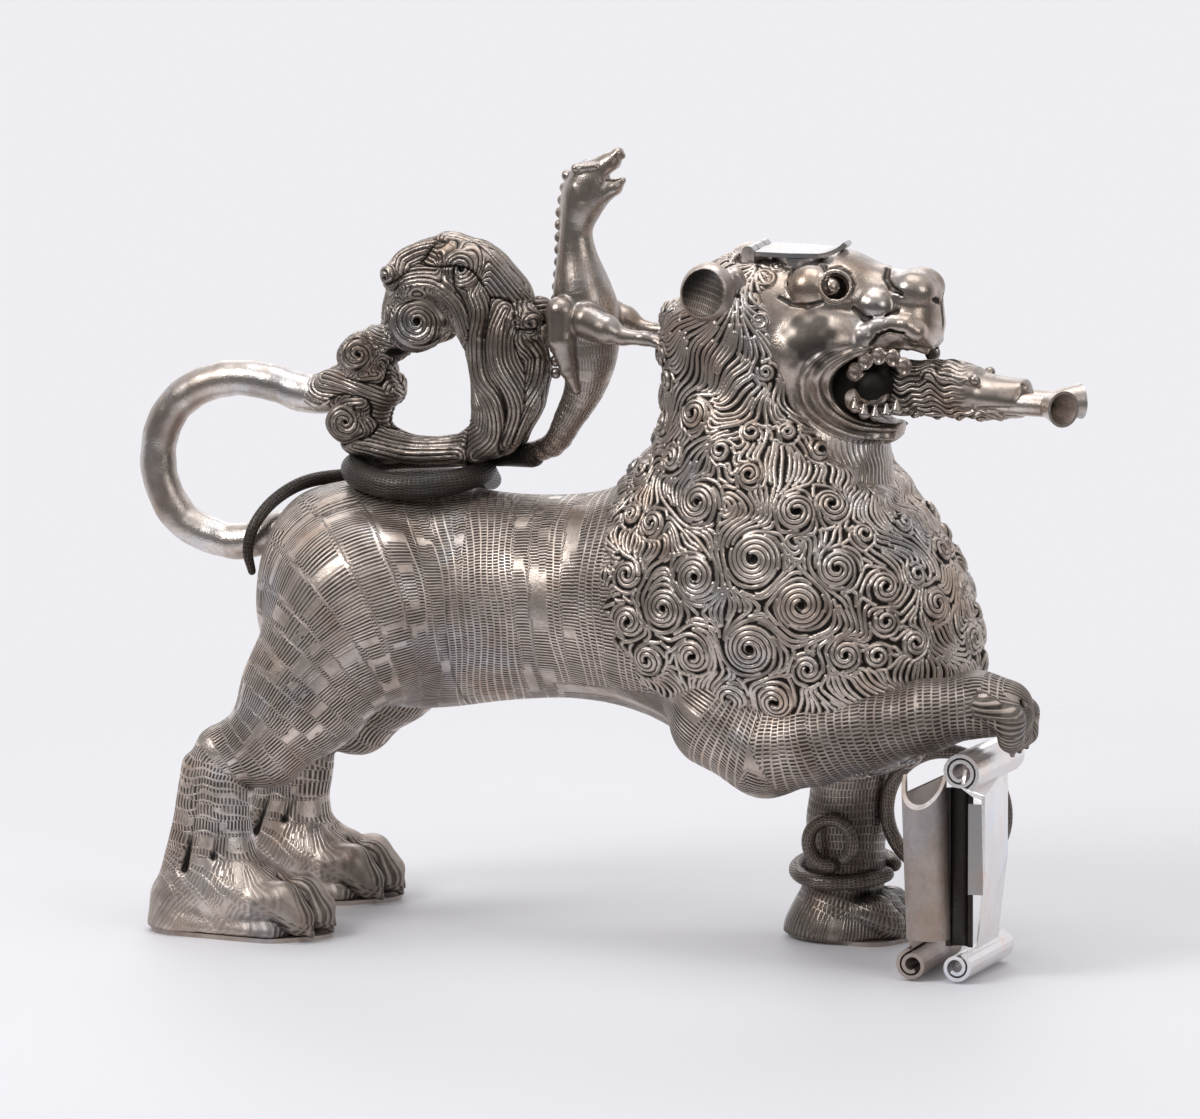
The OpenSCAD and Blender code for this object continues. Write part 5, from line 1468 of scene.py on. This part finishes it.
rope("curl_skin", np.stack(curl, 1), "serpent_curl", SERPENT)


# The ring behind the shield is closed

q = np.linspace(0, 2 * math.pi, 121)[:-1]
a = np.linspace(0, 2 * math.pi, 25)[:-1]
big, small = np.meshgrid(q, a, indexing="ij")
RING, RING_R, RING_T = (76.7, 10.0, 29.6), 13.6, SERPENT_R
reach = RING_R + RING_T * np.cos(small)
v = np.stack([RING[0] + reach * np.cos(big), RING[1] + RING_T * np.sin(small), RING[2] + reach * np.sin(big)],
             -1).reshape(-1, 3)
i, j = np.meshgrid(np.arange(120), np.arange(24), indexing="ij")
f = np.stack([i * 24 + j, i * 24 + (j + 1) % 24, (i + 1) % 120 * 24 + (j + 1) % 24, (i + 1) % 120 * 24 + j],
             -1).reshape(-1, 4)
tick = ticks(big.ravel() * RING_R, small.ravel(), lambda s: RING_T + 0 * s, np.ones(len(v)), 0.9, 0.66)
piece("ring_skin", v, f, SERPENT, ["serpent_ring"], dict(cav=np.zeros(len(v)), tick=tick))


# Lid, hinge, pipes and soles keep their CAD shapes

BEVEL = 0.00012


def dress(node, material, bevel=0.0):
    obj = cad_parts[node]
    obj.data.materials.clear()
    obj.data.materials.append(material)
    if bevel:
        b = obj.modifiers.new("edge", "BEVEL")
        b.width = bevel
        b.segments = 2
        b.limit_method = "ANGLE"
        b.angle_limit = math.radians(35)


for node in ("lid_plate", "lid_knuckle", "hinge_bracket", "hinge_pin", "filler_rim"):
    dress(node, LID, BEVEL)
for node in ("right_spout_pipe", "left_spout_pipe"):
    dress(node, TAIL, BEVEL)
# The soles take the darker sheet, as painted shade
for node in ("right_hind_sole", "left_hind_sole", "left_fore_sole"):
    dress(node, SHADED_SHEET)


# The shield is turned a little, so that the strap shows between the gutter and the front sheet

def sheet(node, move, material, tone=None):
    """Copy of a node with its points moved along X, in mm; move gets and gives points."""
    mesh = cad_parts[node].data
    v = np.array([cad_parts[node].matrix_world @ p.co for p in mesh.vertices]) * 1000 - [SHIFT_X, 0, 0]
    mesh.calc_loop_triangles()
    f = np.array([t.vertices[:] for t in mesh.loop_triangles])
    cav = np.zeros(len(v))
    if tone is not None:
        # The faces of another tone, here the side strip's painted shade, get points of their own
        own = tone(v[f].mean(1))
        new = np.unique(f[own])
        remap = np.arange(len(v))
        remap[new] = len(v) + np.arange(len(new))
        v = np.vstack([v, v[new]])
        cav = np.concatenate([cav, np.full(len(new), STRIP_SHADE)])
        f[own] = remap[f[own]]
    made = piece(node + "_sheet", move(v), f, material, [node], dict(cav=cav))
    made.data.set_sharp_from_angle(angle=math.radians(30))


SHIELD_Y, SHIELD_W, STRIP_SHADE = -34.0, 29.0, 0.4
TOP_SCROLL, TOP_SCROLL_R = (94.8, 46.8), 4.7
GUTTER_EDGE, STRAP_GROW = 90.2, 1.5


def along_x(v, dx):
    """Points moved along X, fully at the shield's near edge and not at the far one."""
    near = np.clip(1 - (v[:, 1] - SHIELD_Y) / SHIELD_W, 0, 1)
    return v + np.stack([near * dx, 0 * dx, 0 * dx], 1)


def front_moved(v):
    reach = np.hypot(v[:, 0] - TOP_SCROLL[0], v[:, 2] - TOP_SCROLL[1])
    scroll = step(TOP_SCROLL_R + 0.08, TOP_SCROLL_R - 0.02, reach)
    foot = step(9, 6, v[:, 2])
    return along_x(v, 3.5 * (1 - scroll) * (1 - foot) - 1.6 * scroll - 1.0 * foot)


def on_strip(c):
    return (c[:, 1] < SHIELD_Y + 0.2) & (c[:, 0] < 94.6) & (c[:, 2] > 14) & (c[:, 2] < 41)


# The side strip of the front sheet is painted darker than its face: painted shade on the side face
sheet("shield_front", front_moved, PLATE, on_strip)
# The back of the shield takes it too, as painted shade
sheet("shield_rear", lambda v: along_x(v, -2.0 * step(6, 14, v[:, 2])), SHADED_SHEET)
# The strap is coloured near black as painted shade
sheet("shield_strap", lambda v: along_x(v, -2.0 + (v[:, 0] - GUTTER_EDGE) * (STRAP_GROW - 1)), STRAP_SHADE)


# Stage

BACKDROP = (0.86, 0.855, 0.89)


def make_world(scene):
    """Pale backdrop behind the object, and a dimmer room on the camera's side."""
    world = bpy.data.worlds.new("studio")
    scene.world = world
    world.use_nodes = True
    t = world.node_tree
    t.nodes.clear()
    g = Graph(t)
    out = g.node("ShaderNodeOutputWorld")
    path = g.node("ShaderNodeLightPath")
    shown = g.math("MAXIMUM", path.outputs["Is Camera Ray"], path.outputs["Is Transmission Ray"])
    shown = g.math("MAXIMUM", shown, path.outputs["Is Glossy Ray"])
    way = g.node("ShaderNodeTexCoord").outputs["Generated"]
    toward = g.node("ShaderNodeVectorMath", operation="DOT_PRODUCT")
    g.put(toward.inputs[0], way)
    toward.inputs[1].default_value = EYE.tolist()
    high = g.parts(way)[2]
    behind = g.span(toward.outputs["Value"], -0.55, 0.1)
    room = g.ramp(g.span(high, -0.2, 0.95), [(0.0, (0.13, 0.126, 0.125)), (0.35, (0.12, 0.117, 0.116)),
                                            (0.7, (0.45, 0.44, 0.44)), (1.0, (0.8, 0.79, 0.79))])
    view = g.mix(behind, BACKDROP, room)
    sky = g.node("ShaderNodeBackground")
    sky.inputs[0].default_value = (0.98, 0.98, 1.0, 1)
    sky.inputs[1].default_value = 0.45
    back = g.node("ShaderNodeBackground")
    g.put(back.inputs[0], view)
    back.inputs[1].default_value = 1.0
    mixer = g.node("ShaderNodeMixShader")
    g.put(mixer.inputs[0], shown)
    g.put(mixer.inputs[1], sky.outputs[0])
    g.put(mixer.inputs[2], back.outputs[0])
    g.put(out.inputs[0], mixer.outputs[0])


def make_floor():
    """Pale floor that keeps the shadow near the object and fades into the backdrop."""
    bpy.ops.mesh.primitive_circle_add(vertices=64, radius=1.4, fill_type="NGON", location=(0, 0, 0))
    floor = bpy.context.object
    floor.name = "floor"
    m = bpy.data.materials.new("pale_floor")
    t = nodes_of(m)
    g = Graph(t)
    out = g.node("ShaderNodeOutputMaterial")
    paper = g.node("ShaderNodeBsdfPrincipled")
    paper.inputs["Base Color"].default_value = (0.83, 0.825, 0.86, 1)
    paper.inputs["Roughness"].default_value = 0.6
    clear = g.node("ShaderNodeBsdfTransparent")
    pos = g.node("ShaderNodeNewGeometry").outputs["Position"]
    length = g.node("ShaderNodeVectorMath", operation="LENGTH")
    g.put(length.inputs[0], pos)
    mixer = g.node("ShaderNodeMixShader")
    g.put(mixer.inputs[0], g.span(length.outputs["Value"], 0.14, 0.4))
    g.put(mixer.inputs[1], paper.outputs[0])
    g.put(mixer.inputs[2], clear.outputs[0])
    g.put(out.inputs[0], mixer.outputs[0])
    floor.data.materials.append(m)


def lamp(scene, name, loc, size, power, to=(0, 0, 0.08)):
    data = bpy.data.lights.new(name, "AREA")
    data.energy = power
    data.size = size
    obj = bpy.data.objects.new(name, data)
    obj.location = loc
    obj.rotation_euler = (Vector(to) - Vector(loc)).to_track_quat("-Z", "Y").to_euler()
    scene.collection.objects.link(obj)


def make_camera(scene):
    cam = bpy.data.cameras.new("camera")
    obj = bpy.data.objects.new("camera", cam)
    scene.collection.objects.link(obj)
    dist, wide = 4.0, 0.264
    eye = Vector(EYE.tolist()).normalized()
    obj.location = Vector((SHIFT_X / 1000, 0, 0.0835)) + eye * dist
    obj.rotation_mode = "QUATERNION"
    obj.rotation_quaternion = eye.to_track_quat("Z", "Y")
    cam.sensor_width = 36
    cam.lens = cam.sensor_width * dist / wide
    cam.clip_start, cam.clip_end = 0.05, 20
    scene.camera = obj


scene = bpy.context.scene
scene.view_settings.view_transform = "Standard"
make_world(scene)
make_floor()
lamp(scene, "key", (-0.6, -0.8, 0.9), 0.5, 5.6)
lamp(scene, "fill", (0.95, -0.6, 0.5), 0.5, 1.7)
lamp(scene, "top", (0.0, 0.05, 1.1), 0.7, 4.0)
lamp(scene, "back", (-0.4, 1.0, 0.7), 0.7, 1.8)
make_camera(scene)
